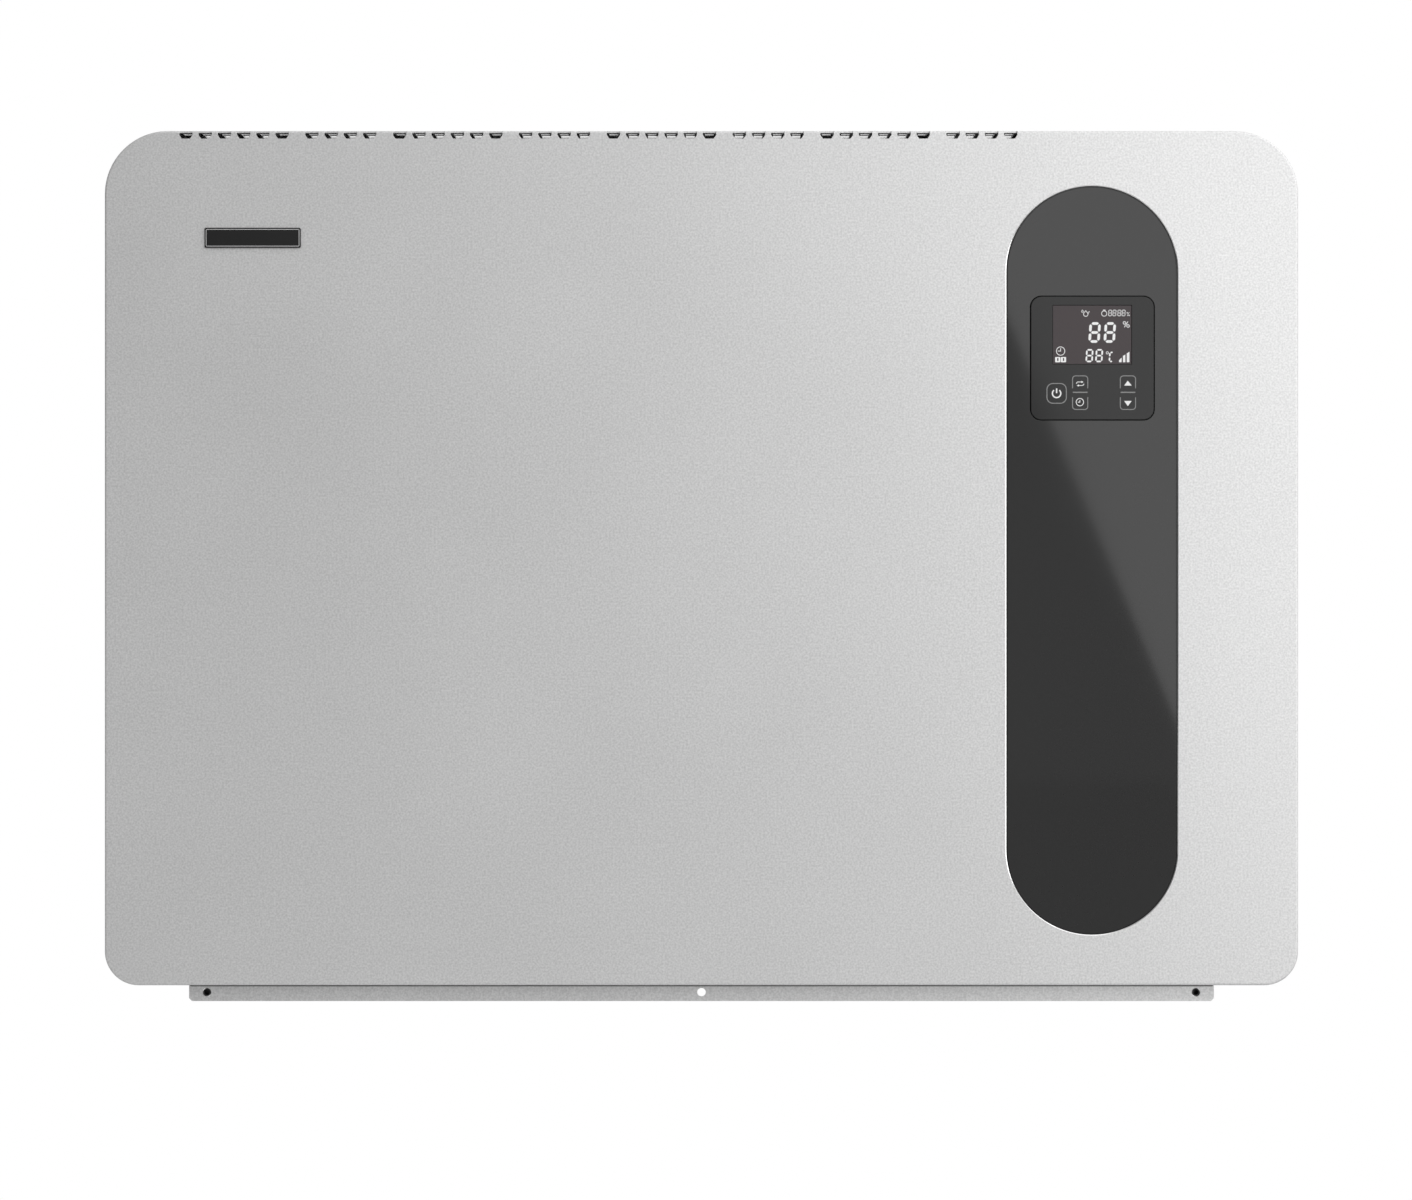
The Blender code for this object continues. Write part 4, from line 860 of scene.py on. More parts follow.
def panel_fasteners():
    """Rivets of the hanger rail, and screws of the deck, partition, base plate and electrical case."""
    panel_y = high("back_panel").y
    rail_low, rail_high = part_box("hanger_rail")
    bm = bmesh.new()
    rail_face = panel_y + GAP + 0.002
    count = 9
    for i in range(count):
        x = rail_low.x + 0.020 + i * (rail_high.x - rail_low.x - 0.040) / (count - 1)
        add_dome(bm, (x, rail_low.z + 0.010), "Y", rail_face, 0.0032, 0.0013)
    piece("hanger_rivets", bm, "aluminium", "chassis")

    deck_z, partition_x = centre("fan_deck").z, centre("partition_plate").x
    bm = bmesh.new()
    washer = [(0.0052, panel_y), (0.0052, panel_y + 0.0007), (0.0036, panel_y + 0.0009)]
    rows = [(-0.440 + 0.110 * i, deck_z) for i in range(7)]
    rows += [(partition_x, z) for z in (-0.480, -0.360, 0.070)]
    rows += [(x, COVER_LOW.z + 0.014) for x in (-0.36, -0.18, 0.0, 0.18, 0.36)]
    rows += [(x, z) for x in (0.330, 0.440) for z in (-0.160, 0.040)]
    for place in rows:
        add_turned(bm, washer, place, "Y", 24)
        add_prism(bm, circle(*place, 0.0034, 6), "Y", panel_y + 0.0008, panel_y + 0.0030)
    piece("back_screws", bm, "zinc_screw", "chassis")


def lip_shadow_bead():
    """Black rubber bead along the base plate's lip, just under the cover's folded edge; its black draws the
    shadow line under that edge: painted shade.
    """
    lip_low, lip_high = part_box("base_pan")
    top = COVER_LOW.z - GAP
    end_gap = 0.0010
    bm = bmesh.new()
    add_block(bm, (lip_low.x + end_gap, lip_low.y - SHADOW_BEAD_THICK, top - SHADOW_BEAD_HIGH),
              (lip_high.x - end_gap, lip_low.y, top), 0.0004, "X")
    piece("lip_shadow_bead", bm, "rubber", "chassis")


def panel_beads():
    """Pressed stiffening beads on the back panel, half-round with rounded ends."""
    panel_y = high("back_panel").y
    half_w, rise = 0.006, 0.0022
    spans = ((-0.440, -0.080), (0.080, 0.440))
    bm = bmesh.new()
    for z in (-0.120, -0.220, -0.330, -0.430):
        for left, right in spans:
            rings = []
            for share in (0.0, 0.35, 0.7, 0.92):
                shrink = half_w * (1 - share)
                y = panel_y + rise * math.sqrt(max(0.0, 1 - (1 - share) ** 2))
                flat = rounded(left - shrink, right + shrink, z - shrink, z + shrink, shrink * 0.999, steps=8)
                rings.append([(u, y, v) for u, v in flat])
            add_rings(bm, rings)
    piece("back_beads", bm, "galvanised", "chassis")


def bracket_details():
    """Pressed dimples in the wall bracket, below and between its screw holes."""
    face = high("wall_bracket").y - 0.002
    bm = bmesh.new()
    for x in (-0.33, -0.24, -0.12, 0.0, 0.12, 0.24, 0.33):
        add_dome(bm, (x, -0.014), "Y", face, 0.0040, -0.0014)
    piece("bracket_dimples", bm, "galvanised", "wall")


# ---------------------------------------------------------------- coils
FIN_PITCH = 0.0019
FIN_SHEET = 0.0003
FIN_WAVES = 8
TUBE_R = 0.00475
COLLAR_BORE = 0.0049
PASSES = 8


def fin_stack(coil):
    """Corrugated foil fins packed along the coil, between its end plates."""
    bottom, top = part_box(coil + "_fins")
    count = int((top.x - bottom.x - FIN_SHEET) / FIN_PITCH)
    pitch = (top.x - bottom.x - FIN_SHEET) / count
    swing = FIN_PITCH * 0.16
    bm = bmesh.new()
    for i in range(count + 1):
        x = bottom.x + i * pitch
        near, far = [], []
        for k in range(FIN_WAVES + 1):
            y = bottom.y + k * (top.y - bottom.y) / FIN_WAVES
            shift = swing if k % 2 and 0 < i < count else 0
            near.append((x + shift, y))
            far.append((x + shift + FIN_SHEET, y))
        add_prism(bm, near + list(reversed(far)), "Z", bottom.z, top.z)
    piece(coil + "_fin_stack", bm, "fin_foil", "chassis", [coil + "_fins"], crease=20)


def pass_heights(coil):
    """Heights of the straight passes, spread evenly over the coil's tube."""
    bottom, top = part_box(coil + "_tube")
    first, last = bottom.z + TUBE_R, top.z - TUBE_R
    return [first + i * (last - first) / (PASSES - 1) for i in range(PASSES)]


def serpentine(coil):
    """The coil's tube: in at the lower right, back and forth, and out at the upper right."""
    bottom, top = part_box(coil + "_tube")
    fins_low, fins_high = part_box(coil + "_fins")
    heights = pass_heights(coil)
    bend = (heights[1] - heights[0]) / 2
    y = (bottom.y + top.y) / 2
    left = bottom.x + TUBE_R + bend
    right = fins_high.x + (fins_low.x - left)
    path = [(top.x, y, heights[0])]
    for i, z in enumerate(heights[:-1]):
        at_left = i % 2 == 0
        sweep = (270, 90) if at_left else (-90, 90)
        path += [(u, y, v) for u, v in arc(left if at_left else right, z + bend, bend, *sweep, 20)]
    path.append((top.x, y, heights[-1]))
    tube(coil + "_pipe", path, TUBE_R, "copper", "chassis", [coil + "_tube"])


def coil_collars(coil):
    """Flared collars where the tube leaves the end plates, and brazed sockets on its two tails."""
    heights = pass_heights(coil)
    y = centre(coil + "_tube").y
    bm = bmesh.new()
    faces = ((low("coil_plate_left").x, -1), (high("coil_plate_right").x, 1))
    for z in heights:
        for x, sign in faces:
            rim, neck = x + sign * 0.0006, x + sign * 0.0022
            profile = [(0.0064, x), (0.0064, rim), (0.0052, neck), (COLLAR_BORE, neck), (COLLAR_BORE, x)]
            add_turned(bm, profile, (y, z), "X", 24, closed=True)
    tail = high(coil + "_tube").x
    sleeve = [(COLLAR_BORE, tail - 0.009), (0.0058, tail - 0.0085), (0.0058, tail - 0.001),
              (COLLAR_BORE, tail - 0.0005)]
    for z in (heights[0], heights[-1]):
        add_turned(bm, sleeve, (y, z), "X", 24, closed=True)
    piece(coil + "_collars", bm, "copper", "chassis")


def grommets():
    """Rubber rings where the pipes pass the partition."""
    x = centre("partition_plate").x
    inner, outer, groove, half = 0.0052, 0.0118, 0.0089, 0.0032
    bm = bmesh.new()
    for coil in ("evaporator", "condenser"):
        heights = pass_heights(coil)
        for z in (heights[0], heights[-1]):
            profile = [
                (inner, x - half), (outer - 0.001, x - half), (outer, x - half + 0.0008), (outer, x - 0.0010),
                (groove, x - 0.0009), (groove, x + 0.0009), (outer, x + 0.0010), (outer, x + half - 0.0008),
                (outer - 0.001, x + half), (inner, x + half),
            ]
            add_turned(bm, profile, (centre(coil + "_tube").y, z), "X", 32, closed=True)
    piece("pipe_grommets", bm, "rubber", "chassis")


# ---------------------------------------------------------------- fans
FAN_Y = centre("fan_shaft").y
FAN_Z = centre("fan_shaft").z
BLADES = 38


def fan_wheel(side):
    """Squirrel-cage wheel with forward-curved blades between two rolled rings and a dished centre disc."""
    bottom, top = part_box("fan_wheel_" + side)
    x = (bottom.x + top.x) / 2
    half = (top.x - bottom.x) / 2
    outer = (top.z - bottom.z) / 2
    inner = outer - 0.0115
    bm = bmesh.new()
    steps = 5
    for i in range(BLADES):
        turn = math.tau * i / BLADES
        front, back = [], []
        for k in range(steps + 1):
            share = k / steps
            radius = inner + share * (outer - 0.0008 - inner)
            angle = turn + 0.16 * share ** 2 - 0.05 * share
            for side_list, offset in ((front, 0.0), (back, 0.0007 / radius)):
                side_list.append((
                    FAN_Y + radius * math.cos(angle + offset), FAN_Z + radius * math.sin(angle + offset)
                ))
        add_prism(bm, front + list(reversed(back)), "X", x - half + 0.001, x + half - 0.001)
    for sign in (-1, 1):
        end = x + sign * half
        section = ((0.0105, 0.0030), (0.0115, 0.0015), (0.0105, 0), (0.0015, 0), (0, 0.0015), (0, 0.0045),
                   (0.0012, 0.0050))
        rim = [(outer - inward, end - sign * back) for inward, back in section]
        add_turned(bm, rim, (FAN_Y, FAN_Z), "X", 96, closed=True)
    half_disc = [(0.0056, 0.012), (0.013, 0.012), (0.014, 0.011), (0.015, 0.003), (0.024, 0.0015),
                 (inner, 0.0015), (outer - 0.001, 0.0012)]
    disc = [(r, x - w) for r, w in half_disc] + [(r, x + w) for r, w in reversed(half_disc)]
    add_turned(bm, disc, (FAN_Y, FAN_Z), "X", 96, closed=True)
    piece("wheel_" + side, bm, "black_plastic", "fan", ["fan_wheel_" + side])

    bm = bmesh.new()
    spot = (x + 0.0075, FAN_Y)
    add_prism(bm, circle(*spot, 0.0024, 16), "Z", FAN_Z + 0.0125, FAN_Z + 0.0160)
    piece("wheel_grub_screw_" + side, bm, "zinc_screw", "fan")


def scroll(extra, top, steps=60):
    """Casing outline in Y, Z: a spiral round the wheel, then a duct straight up."""
    start, stop, start_r, end_r = 50, -180, 0.078, 0.098
    outline = []
    for i in range(steps + 1):
        share = i / steps
        angle = math.radians(start + share * (stop - start))
        radius = start_r + share * (end_r - start_r) + extra
        outline.append((FAN_Y + radius * math.cos(angle), FAN_Z + radius * math.sin(angle)))
    outline += [(FAN_Y - end_r - extra, top), (outline[0][0], top)]
    return outline


def blower_housing(side):
    """Moulded scroll casing with bell mouths and a screwed foot, then its seam and its duct's gasket."""
    node = "blower_housing_" + side
    bottom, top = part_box(node)
    wall, inlet_r = 0.002, 0.056
    x = (bottom.x + top.x) / 2
    deck = high("fan_deck").z + GAP
    shell = scroll(wall, top.z)
    bm = bmesh.new()
    add_prism(bm, shell, "X", bottom.x, top.x)
    cutters = [
        cutter("cut_scroll", [(scroll(0, top.z + OVER), "X", bottom.x + wall, top.x - wall)]),
        cutter("cut_inlet", [(circle(FAN_Y, FAN_Z, inlet_r, 72), "X", bottom.x - OVER, top.x + OVER)]),
    ]
    piece("scroll_" + side, bm, "grey_plastic", "chassis", [node], cutters)

    bm = bmesh.new()
    for sign, face in ((-1, bottom.x), (1, top.x)):
        mouth = [(inlet_r + 0.007, face - sign * 0.0002), (inlet_r + 0.006, face + sign * 0.0022),
                 (inlet_r + 0.0035, face + sign * 0.0032), (inlet_r + 0.0008, face + sign * 0.0022),
                 (inlet_r - 0.0010, face - sign * 0.0005), (inlet_r - 0.0016, face - sign * 0.0060),
                 (inlet_r - 0.0004, face - sign * 0.0060), (inlet_r + 0.0002, face - sign * 0.0020)]
        add_turned(bm, mouth, (FAN_Y, FAN_Z), "X", 96, closed=True)
    piece("scroll_mouths_" + side, bm, "grey_plastic", "chassis")

    bm = bmesh.new()
    foot_half, web_half, sole = 0.030, 0.004, 0.003
    left, right = bottom.x + 0.005, top.x - 0.005
    under = FAN_Z - 0.0875
    for sign in (-1, 1):
        y = FAN_Y + sign * (foot_half - web_half)
        add_block(bm, (left, y - web_half, deck), (right, y + web_half, under), 0.001, "X")
    add_block(bm, (left, FAN_Y - foot_half, deck), (right, FAN_Y + foot_half, deck + sole), 0.001, "X")
    piece("scroll_foot_" + side, bm, "grey_plastic", "chassis")

    bm = bmesh.new()
    for sx in (bottom.x + 0.015, top.x - 0.015):
        for sy in (FAN_Y - 0.014, FAN_Y + 0.014):
            add_dome(bm, (sx, sy), "Z", deck + sole, 0.0038, 0.0018)
    piece("scroll_screws_" + side, bm, "zinc_screw", "chassis")
    scroll_seam(side, x, wall, top.z)
    duct_gasket(side, bottom, top)


def scroll_seam(side, x, wall, top):
    """Flange where the casing's halves meet, with the screws that close it."""
    rise, half = 0.0030, 0.0013
    outer, inner = (scroll(wall + extra, top - 0.001) for extra in (rise, -GAP))
    outer, inner = (path[-1:] + path[:-1] for path in (outer, inner))
    bm = bmesh.new()
    add_prism(bm, outer + list(reversed(inner)), "X", x - half, x + half)
    edge = scroll(wall + rise, top)
    spots = edge[4:60:11] + [(edge[-2][0], FAN_Z + 0.060), (edge[-2][0], FAN_Z + 0.180)]
    spots += [(edge[-1][0], FAN_Z + 0.140), (edge[-1][0], FAN_Z + 0.220)]
    screws = bmesh.new()
    for spot in spots:
        add_turned(bm, [(0.0036, x - 0.004), (0.0036, x + 0.004)], spot, "X", 20)
        add_dome(screws, spot, "X", x + 0.004, 0.0026, 0.0012)
    piece("scroll_seam_" + side, bm, "grey_plastic", "chassis")
    piece("scroll_seam_screws_" + side, screws, "zinc_screw", "chassis")


def duct_gasket(side, bottom, top):
    """Soft rubber strip round the duct's mouth, just short of the underside of the cover."""
    width, rise = 0.005, 0.0065
    start = top.z + GAP
    duct_rear = scroll(0.002, top.z)[-1][0]
    shoulder, crest = start + rise - 0.001, start + rise
    section = ((0.001, start), (0.001, shoulder), (0.0, crest),
               (0.003 - width, crest), (0.002 - width, shoulder), (0.002 - width, start))
    rings = []
    for extra, z in section:
        sides = (bottom.x - extra, top.x + extra, bottom.y - extra, duct_rear + extra)
        rings.append([(u, v, z) for u, v in rounded(*sides, 0.003 + extra, steps=4)])
    bm = bmesh.new()
    add_rings(bm, rings, closed=True)
    piece("duct_gasket_" + side, bm, "rubber", "chassis")


def fan_motor():
    """Ribbed motor between two end shields, held together by four long bolts."""
    bottom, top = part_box("fan_motor")
    middle_x = (bottom.x + top.x) / 2
    radius = (top.z - bottom.z) / 2
    neck, neck_r, bore_r, shield = 0.012, 0.018, 0.0056, 0.016
    half = (top.x - bottom.x) / 2 - neck
    side = [
        (half - shield, radius - 0.0035), (half - shield, radius), (half - 0.008, radius - 0.0005),
        (half - 0.003, radius - 0.004), (half, radius - 0.010), (half, 0.034), (half - 0.002, 0.031),
        (half - 0.002, 0.026), (half, 0.023), (half, neck_r), (half + neck - 0.001, neck_r),
        (half + neck, neck_r - 0.001), (half + neck, bore_r),
    ]
    profile = [(r, middle_x - w) for w, r in reversed(side)] + [(r, middle_x + w) for w, r in side]
    bm = bmesh.new()
    add_turned(bm, profile, (FAN_Y, FAN_Z), "X", 72, closed=True)
    ribs = 40
    for i in range(ribs):
        angle = math.tau * (i + 0.5) / ribs
        out, inn, wide = radius - 0.0004, radius - 0.0040, 0.0009
        flat = []
        for r, s in ((inn, -wide), (out, -wide), (out, wide), (inn, wide)):
            flat.append((FAN_Y + r * math.cos(angle) - s * math.sin(angle),
                         FAN_Z + r * math.sin(angle) + s * math.cos(angle)))
        add_prism(bm, flat, "X", middle_x - half + shield, middle_x + half - shield)
    piece("motor_shell", bm, "aluminium", "chassis", ["fan_motor"])

    bm = bmesh.new()
    for i in range(4):
        angle = math.radians(45 + 90 * i)
        spot = (FAN_Y + 0.0365 * math.cos(angle), FAN_Z + 0.0365 * math.sin(angle))
        for sign in (-1, 1):
            ends = sorted((middle_x + sign * half, middle_x + sign * (half + 0.0030)))
            add_prism(bm, circle(*spot, 0.0034, 6), "X", *ends)
        add_turned(bm, [(0.0017, middle_x - half - 0.005), (0.0017, middle_x + half + 0.002)], spot, "X", 16)
    piece("motor_bolts", bm, "zinc_screw", "chassis")


def motor_strap():
    """Steel band over the motor, bolted down to its saddle."""
    saddle_high = high("motor_bracket")
    x = centre("motor_bracket").x
    radius = (high("fan_motor").z - low("fan_motor").z) / 2 + GAP
    half_w, sheet = 0.008, 0.0012
    seat = saddle_high.z + GAP
    start = math.degrees(math.asin((seat + sheet - FAN_Z) / (radius + sheet)))
    rise = 180 - start
    bend_in = arc(FAN_Y, FAN_Z, radius, start, rise, 40)
    bend_out = arc(FAN_Y, FAN_Z, radius + sheet, start, rise, 40)
    ear = saddle_high.y - FAN_Y - 0.001
    right = [(FAN_Y + ear, seat), (FAN_Y + ear, seat + sheet)]
    left = [(FAN_Y - ear, seat + sheet), (FAN_Y - ear, seat)]
    outline = [bend_in[0]] + [(bend_in[0][0], seat)] + right + bend_out + left + [(bend_in[-1][0], seat)]
    outline += list(reversed(bend_in))[:-1]
    bm = bmesh.new()
    add_prism(bm, outline, "X", x - half_w, x + half_w)
    piece("motor_strap", bm, "galvanised", "chassis", crease=25)
    bm = bmesh.new()
    for sign in (-1, 1):
        spot = (x, FAN_Y + sign * (ear - 0.0035))
        add_prism(bm, circle(*spot, 0.0032, 6), "Z", seat + sheet, seat + sheet + 0.0030)
        add_turned(bm, [(0.0016, seat + sheet), (0.0016, seat + sheet + 0.0048)], spot, "Z", 16)
    piece("strap_nuts", bm, "zinc_screw", "chassis")


# ---------------------------------------------------------------- refrigerant circuit
def dome_profile(radius, bottom, top, ease, steps=10):
    """Half-outline of an upright vessel with rounded ends."""
    profile = [(radius - ease + ease * math.sin(a), bottom + ease * 0.6 * (1 - math.cos(a)))
               for a in (math.radians(90 * i / steps) for i in range(steps + 1))]
    profile += [(radius - ease + ease * math.cos(a), top - ease * 0.6 * (1 - math.sin(a)))
                for a in (math.radians(90 * i / steps) for i in range(steps + 1))]
    return profile


def compressor():
    """Hermetic shell of two drawn cups with a weld bead, its three-armed foot and its nuts."""
    bottom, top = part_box("compressor")
    radius = 0.055
    shell_x, shell_y = (low("terminal_cover").x + high("terminal_cover").x) / 2, -0.125
    shell_low, shell_top = bottom.z + 0.003, top.z
    bm = bmesh.new()
    profile = dome_profile(radius, shell_low + 0.004, shell_top - 0.006, 0.030)
    add_turned(bm, profile, (shell_x, shell_y), "Z", 96)
    piece("compressor_shell", bm, "compressor_black", "chassis", ["compressor"])

    weld = shell_low + 0.155
    bm = bmesh.new()
    bead = [(radius - 0.001 + 0.0028 * math.cos(a), weld + 0.0034 * math.sin(a))
            for a in (math.tau * i / 14 for i in range(14))]
    add_turned(bm, bead, (shell_x, shell_y), "Z", 96, closed=True)
    cap = [(0.0086, shell_top - 0.0075), (0.0086, shell_top - 0.003), (0.0072, shell_top - 0.0008),
           (0.0056, shell_top), (0.0050, shell_top), (0.0050, shell_top - 0.0075)]
    add_turned(bm, cap, (shell_x, shell_y), "Z", 32, closed=True)
    foot_r, foot_circle = 0.014, 0.070
    outline = []
    ears = [math.radians(90 + 120 * i) for i in range(3)]
    for i, angle in enumerate(ears):
        facing = 90 + 120 * i
        spot = (shell_x + foot_circle * math.cos(angle), shell_y + foot_circle * math.sin(angle))
        outline += arc(*spot, foot_r, facing - 60, facing + 60, 16)
    add_prism(bm, outline, "Z", bottom.z, bottom.z + 0.004)
    piece("compressor_foot", bm, "compressor_black", "chassis")

    bm = bmesh.new()
    for angle in ears:
        spot = (shell_x + foot_circle * math.cos(angle), shell_y + foot_circle * math.sin(angle))
        plate = bottom.z + 0.004
        add_turned(bm, [(0.0082, plate), (0.0082, plate + 0.0012)], spot, "Z", 32)
        add_prism(bm, circle(*spot, 0.0056, 6), "Z", plate + 0.0012, plate + 0.0062)
        add_turned(bm, [(0.0029, plate), (0.0029, plate + 0.0095), (0.0022, plate + 0.0102)], spot, "Z", 20)
    piece("compressor_nuts", bm, "zinc_screw", "chassis")


def terminal_cover():
    """Snap-on cap with rounded edges and a row of grips."""
    node = "terminal_cover"
    bottom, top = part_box(node)
    bm = bmesh.new()
    add_block(bm, bottom, top, 0.004, "Y")
    for i in range(5):
        z = bottom.z + 0.010 + i * 0.006
        corners = (bottom.x + 0.008, bottom.y - 0.0006, z), (top.x - 0.008, bottom.y + 0.002, z + 0.0022)
        add_block(bm, *corners, 0.0005, "X")
    piece("terminal_cap", bm, "black_plastic", "chassis", [node])


def vessels():
    """Accumulator with its strap, and the spun copper drier with two weld rings."""
    bottom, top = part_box("accumulator")
    middle = centre("accumulator")
    radius = (top.x - bottom.x) / 2
    bm = bmesh.new()
    body = dome_profile(radius, bottom.z, top.z - 0.012, 0.016)
    add_turned(bm, body + [(0.0075, top.z - 0.0125), (0.0066, top.z - 0.004), (0.0062, top.z)],
               (middle.x, middle.y), "Z", 64)
    piece("accumulator_shell", bm, "compressor_black", "chassis", ["accumulator"])
    bm = bmesh.new()
    band = [(radius + 0.0002, middle.z - 0.006), (radius + 0.0011, middle.z - 0.006),
            (radius + 0.0011, middle.z + 0.006), (radius + 0.0002, middle.z + 0.006)]
    add_turned(bm, band, (middle.x, middle.y), "Z", 64, closed=True)
    piece("accumulator_band", bm, "galvanised", "chassis")

    bottom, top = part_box("filter_drier")
    middle = centre("filter_drier")
    radius = (top.x - bottom.x) / 2
    cone = 0.012
    narrowing = radius - 0.0045
    neck = [(radius - narrowing * math.sin(math.radians(a)) ** 2, cone * a / 90) for a in range(0, 91, 9)]
    profile = [(r, bottom.z + cone - w) for r, w in reversed(neck)] + [(r, top.z - cone + w) for r, w in neck]
    bm = bmesh.new()
    add_turned(bm, profile, (middle.x, middle.y), "Z", 48)
    for z in (middle.z - 0.028, middle.z + 0.028):
        bead = [(radius - 0.0004 + 0.0010 * math.cos(a), z + 0.0016 * math.sin(a))
                for a in (math.tau * i / 10 for i in range(10))]
        add_turned(bm, bead, (middle.x, middle.y), "Z", 48, closed=True)
    piece("drier_shell", bm, "copper", "chassis", ["filter_drier"])


# ---------------------------------------------------------------- electrical parts
def main_board():
    """Circuit board with its relays, chips, capacitors, heat sink, plugs, small parts and screws."""
    bottom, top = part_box("main_board")
    face = bottom.y
    bm = bmesh.new()
    add_block(bm, bottom, top, 0.0004, "Y")
    piece("board_sheet", bm, "board_green", "chassis", ["main_board"])

    dark = bmesh.new()
    for x, z, wide, tall, deep in (
        (0.315, -0.080, 0.020, 0.016, 0.016), (0.340, -0.080, 0.020, 0.016, 0.016),
        (0.365, -0.080, 0.020, 0.016, 0.016), (0.390, -0.080, 0.020, 0.016, 0.016),
        (0.355, -0.010, 0.026, 0.026, 0.0025), (0.400, 0.006, 0.012, 0.012, 0.0020),
    ):
        corners = (x - wide / 2, face - deep, z - tall / 2), (x + wide / 2, face - 0.0001, z + tall / 2)
        add_block(dark, *corners, 0.0008, "Y")
    piece("board_relays_and_chips", dark, "black_plastic", "chassis")

    cans = bmesh.new()
    for x, z, radius, tall in (
        (0.440, -0.070, 0.0095, 0.026), (0.460, -0.045, 0.0065, 0.018), (0.425, -0.030, 0.0050, 0.013),
        (0.445, -0.020, 0.0050, 0.013), (0.320, 0.030, 0.0040, 0.010), (0.335, 0.030, 0.0040, 0.010),
    ):
        profile = [(radius, face - 0.0001), (radius, face - 0.0012), (radius - 0.0006, face - 0.0018),
                   (radius, face - 0.0026), (radius, face - tall + 0.0008), (radius - 0.0008, face - tall),
                   (radius - 0.0016, face - tall + 0.0004), (0.0010, face - tall + 0.0004)]
        add_turned(cans, profile, (x, z), "Y", 32)
    piece("board_capacitors", cans, "aluminium", "chassis")

    sink = bmesh.new()
    add_block(sink, (0.300, face - 0.020, -0.050), (0.306, face - 0.0001, -0.005), 0.0005, "Z")
    for i in range(8):
        z = -0.049 + i * 0.0060
        add_block(sink, (0.3055, face - 0.020, z), (0.318, face - 0.0005, z + 0.0018), 0.0003, "X")
    piece("board_heat_sink", sink, "aluminium", "chassis")

    plugs = bmesh.new()
    for i in range(4):
        left = 0.350 + i * 0.028
        add_block(plugs, (left, face - 0.011, 0.034), (left + 0.024, face - 0.0001, 0.046), 0.0006, "Y")
        for k in range(4):
            x = left + 0.0035 + k * 0.0056
            corners = (x - 0.0016, face - 0.0125, 0.0365), (x + 0.0016, face - 0.0105, 0.0435)
            add_block(plugs, *corners, 0.0003, "Y")
    add_block(plugs, (0.425, face - 0.006, 0.004), (0.455, face - 0.0001, 0.012), 0.0006, "Y")
    piece("board_plugs", plugs, "white_foam", "chassis")

    small = bmesh.new()
    for row, z in enumerate((-0.056, -0.040, 0.020)):
        for i in range(9 if row else 6):
            x = 0.335 + i * 0.0085
            profile = [(0.0009, x), (0.0014, x + 0.0004), (0.0014, x + 0.0042), (0.0009, x + 0.0046)]
            add_turned(small, profile, (face - 0.0018, z), "X", 12)
    chip_legs = 10
    for i in range(chip_legs):
        x = 0.3445 + i * 0.0023
        for z in (-0.0245, 0.0035):
            add_block(small, (x, face - 0.0012, z), (x + 0.0009, face - 0.0001, z + 0.0020), 0.0002, "Y")
    piece("board_small_parts", small, "zinc_screw", "chassis")

    bm = bmesh.new()
    inset = 0.008
    for x in (bottom.x + inset, top.x - inset):
        for z in (bottom.z + inset, top.z - inset):
            add_dome(bm, (x, z), "Y", face - 0.0001, 0.0034, -0.0018)
    piece("board_screws", bm, "zinc_screw", "chassis")


def power_parts():
    """Run capacitor with its lid and lugs, the fan capacitor, and the terminal block's screws and ridges."""
    bottom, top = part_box("run_capacitor")
    middle = centre("run_capacitor")
    radius = (top.x - bottom.x) / 2
    bm = bmesh.new()
    profile = [(radius - 0.001, bottom.z), (radius, bottom.z + 0.001), (radius, top.z - 0.007),
               (radius - 0.0012, top.z - 0.006), (radius, top.z - 0.005), (radius, top.z - 0.0015),
               (radius - 0.001, top.z - 0.0006), (radius - 0.002, top.z - 0.0015)]
    add_turned(bm, profile, (middle.x, middle.y), "Z", 64)
    piece("capacitor_can", bm, "aluminium", "chassis", ["run_capacitor"])
    bm = bmesh.new()
    lid = [(radius - 0.0022, top.z - 0.0014), (radius - 0.0026, top.z + 0.0002), (0.004, top.z + 0.0006)]
    add_turned(bm, lid, (middle.x, middle.y), "Z", 48)
    piece("capacitor_lid", bm, "black_plastic", "chassis")
    bm = bmesh.new()
    for x in (-0.0075, 0.0015):
        for y in (-0.006, 0.006):
            lug = Vector((middle.x + x + 0.003, middle.y + y, top.z))
            reach = Vector((0.0030, 0.0004, 0))
            add_block(bm, lug - reach, lug + reach + Vector((0, 0, 0.0085)), 0.0003, "Z")
    piece("capacitor_lugs", bm, "zinc_screw", "chassis")

    bottom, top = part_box("fan_capacitor")
    bm = bmesh.new()
    add_block(bm, bottom, top, 0.0022, "Y")
    for x in (bottom.x + 0.009, top.x - 0.009):
        front, back = bottom.y + 0.004, bottom.y + 0.0046
        add_block(bm, (x - 0.003, front, top.z - 0.0005), (x + 0.003, back, top.z + 0.006), 0.0003, "Z")
    piece("fan_capacitor_case", bm, "black_plastic", "chassis", ["fan_capacitor"])

    bottom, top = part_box("terminal_block")
    pitch, ways = 0.0125, 5
    screws, ridges = bmesh.new(), bmesh.new()
    for i in range(ways):
        x = bottom.x + 0.008 + i * pitch
        spot = (x, (bottom.z + top.z) / 2)
        back = bottom.y + 0.0098
        add_turned(screws, [(0.0033, back), (0.0033, back - 0.0030), (0.0026, back - 0.0038)], spot, "Y", 24)
        corners = (x - 0.0036, back - 0.0002, spot[1] - 0.0070), (x + 0.0036, back + 0.0006, spot[1] + 0.0070)
        add_box(screws, *corners)
        if i:
            edge = x - pitch / 2
            add_block(ridges, (edge - 0.0009, bottom.y - 0.0030, bottom.z + 0.002),
                      (edge + 0.0009, bottom.y + 0.002, top.z - 0.002), 0.0005, "Z")
    piece("terminal_screws", screws, "zinc_screw", "chassis")
    piece("terminal_ridges", ridges, "white_foam", "chassis")


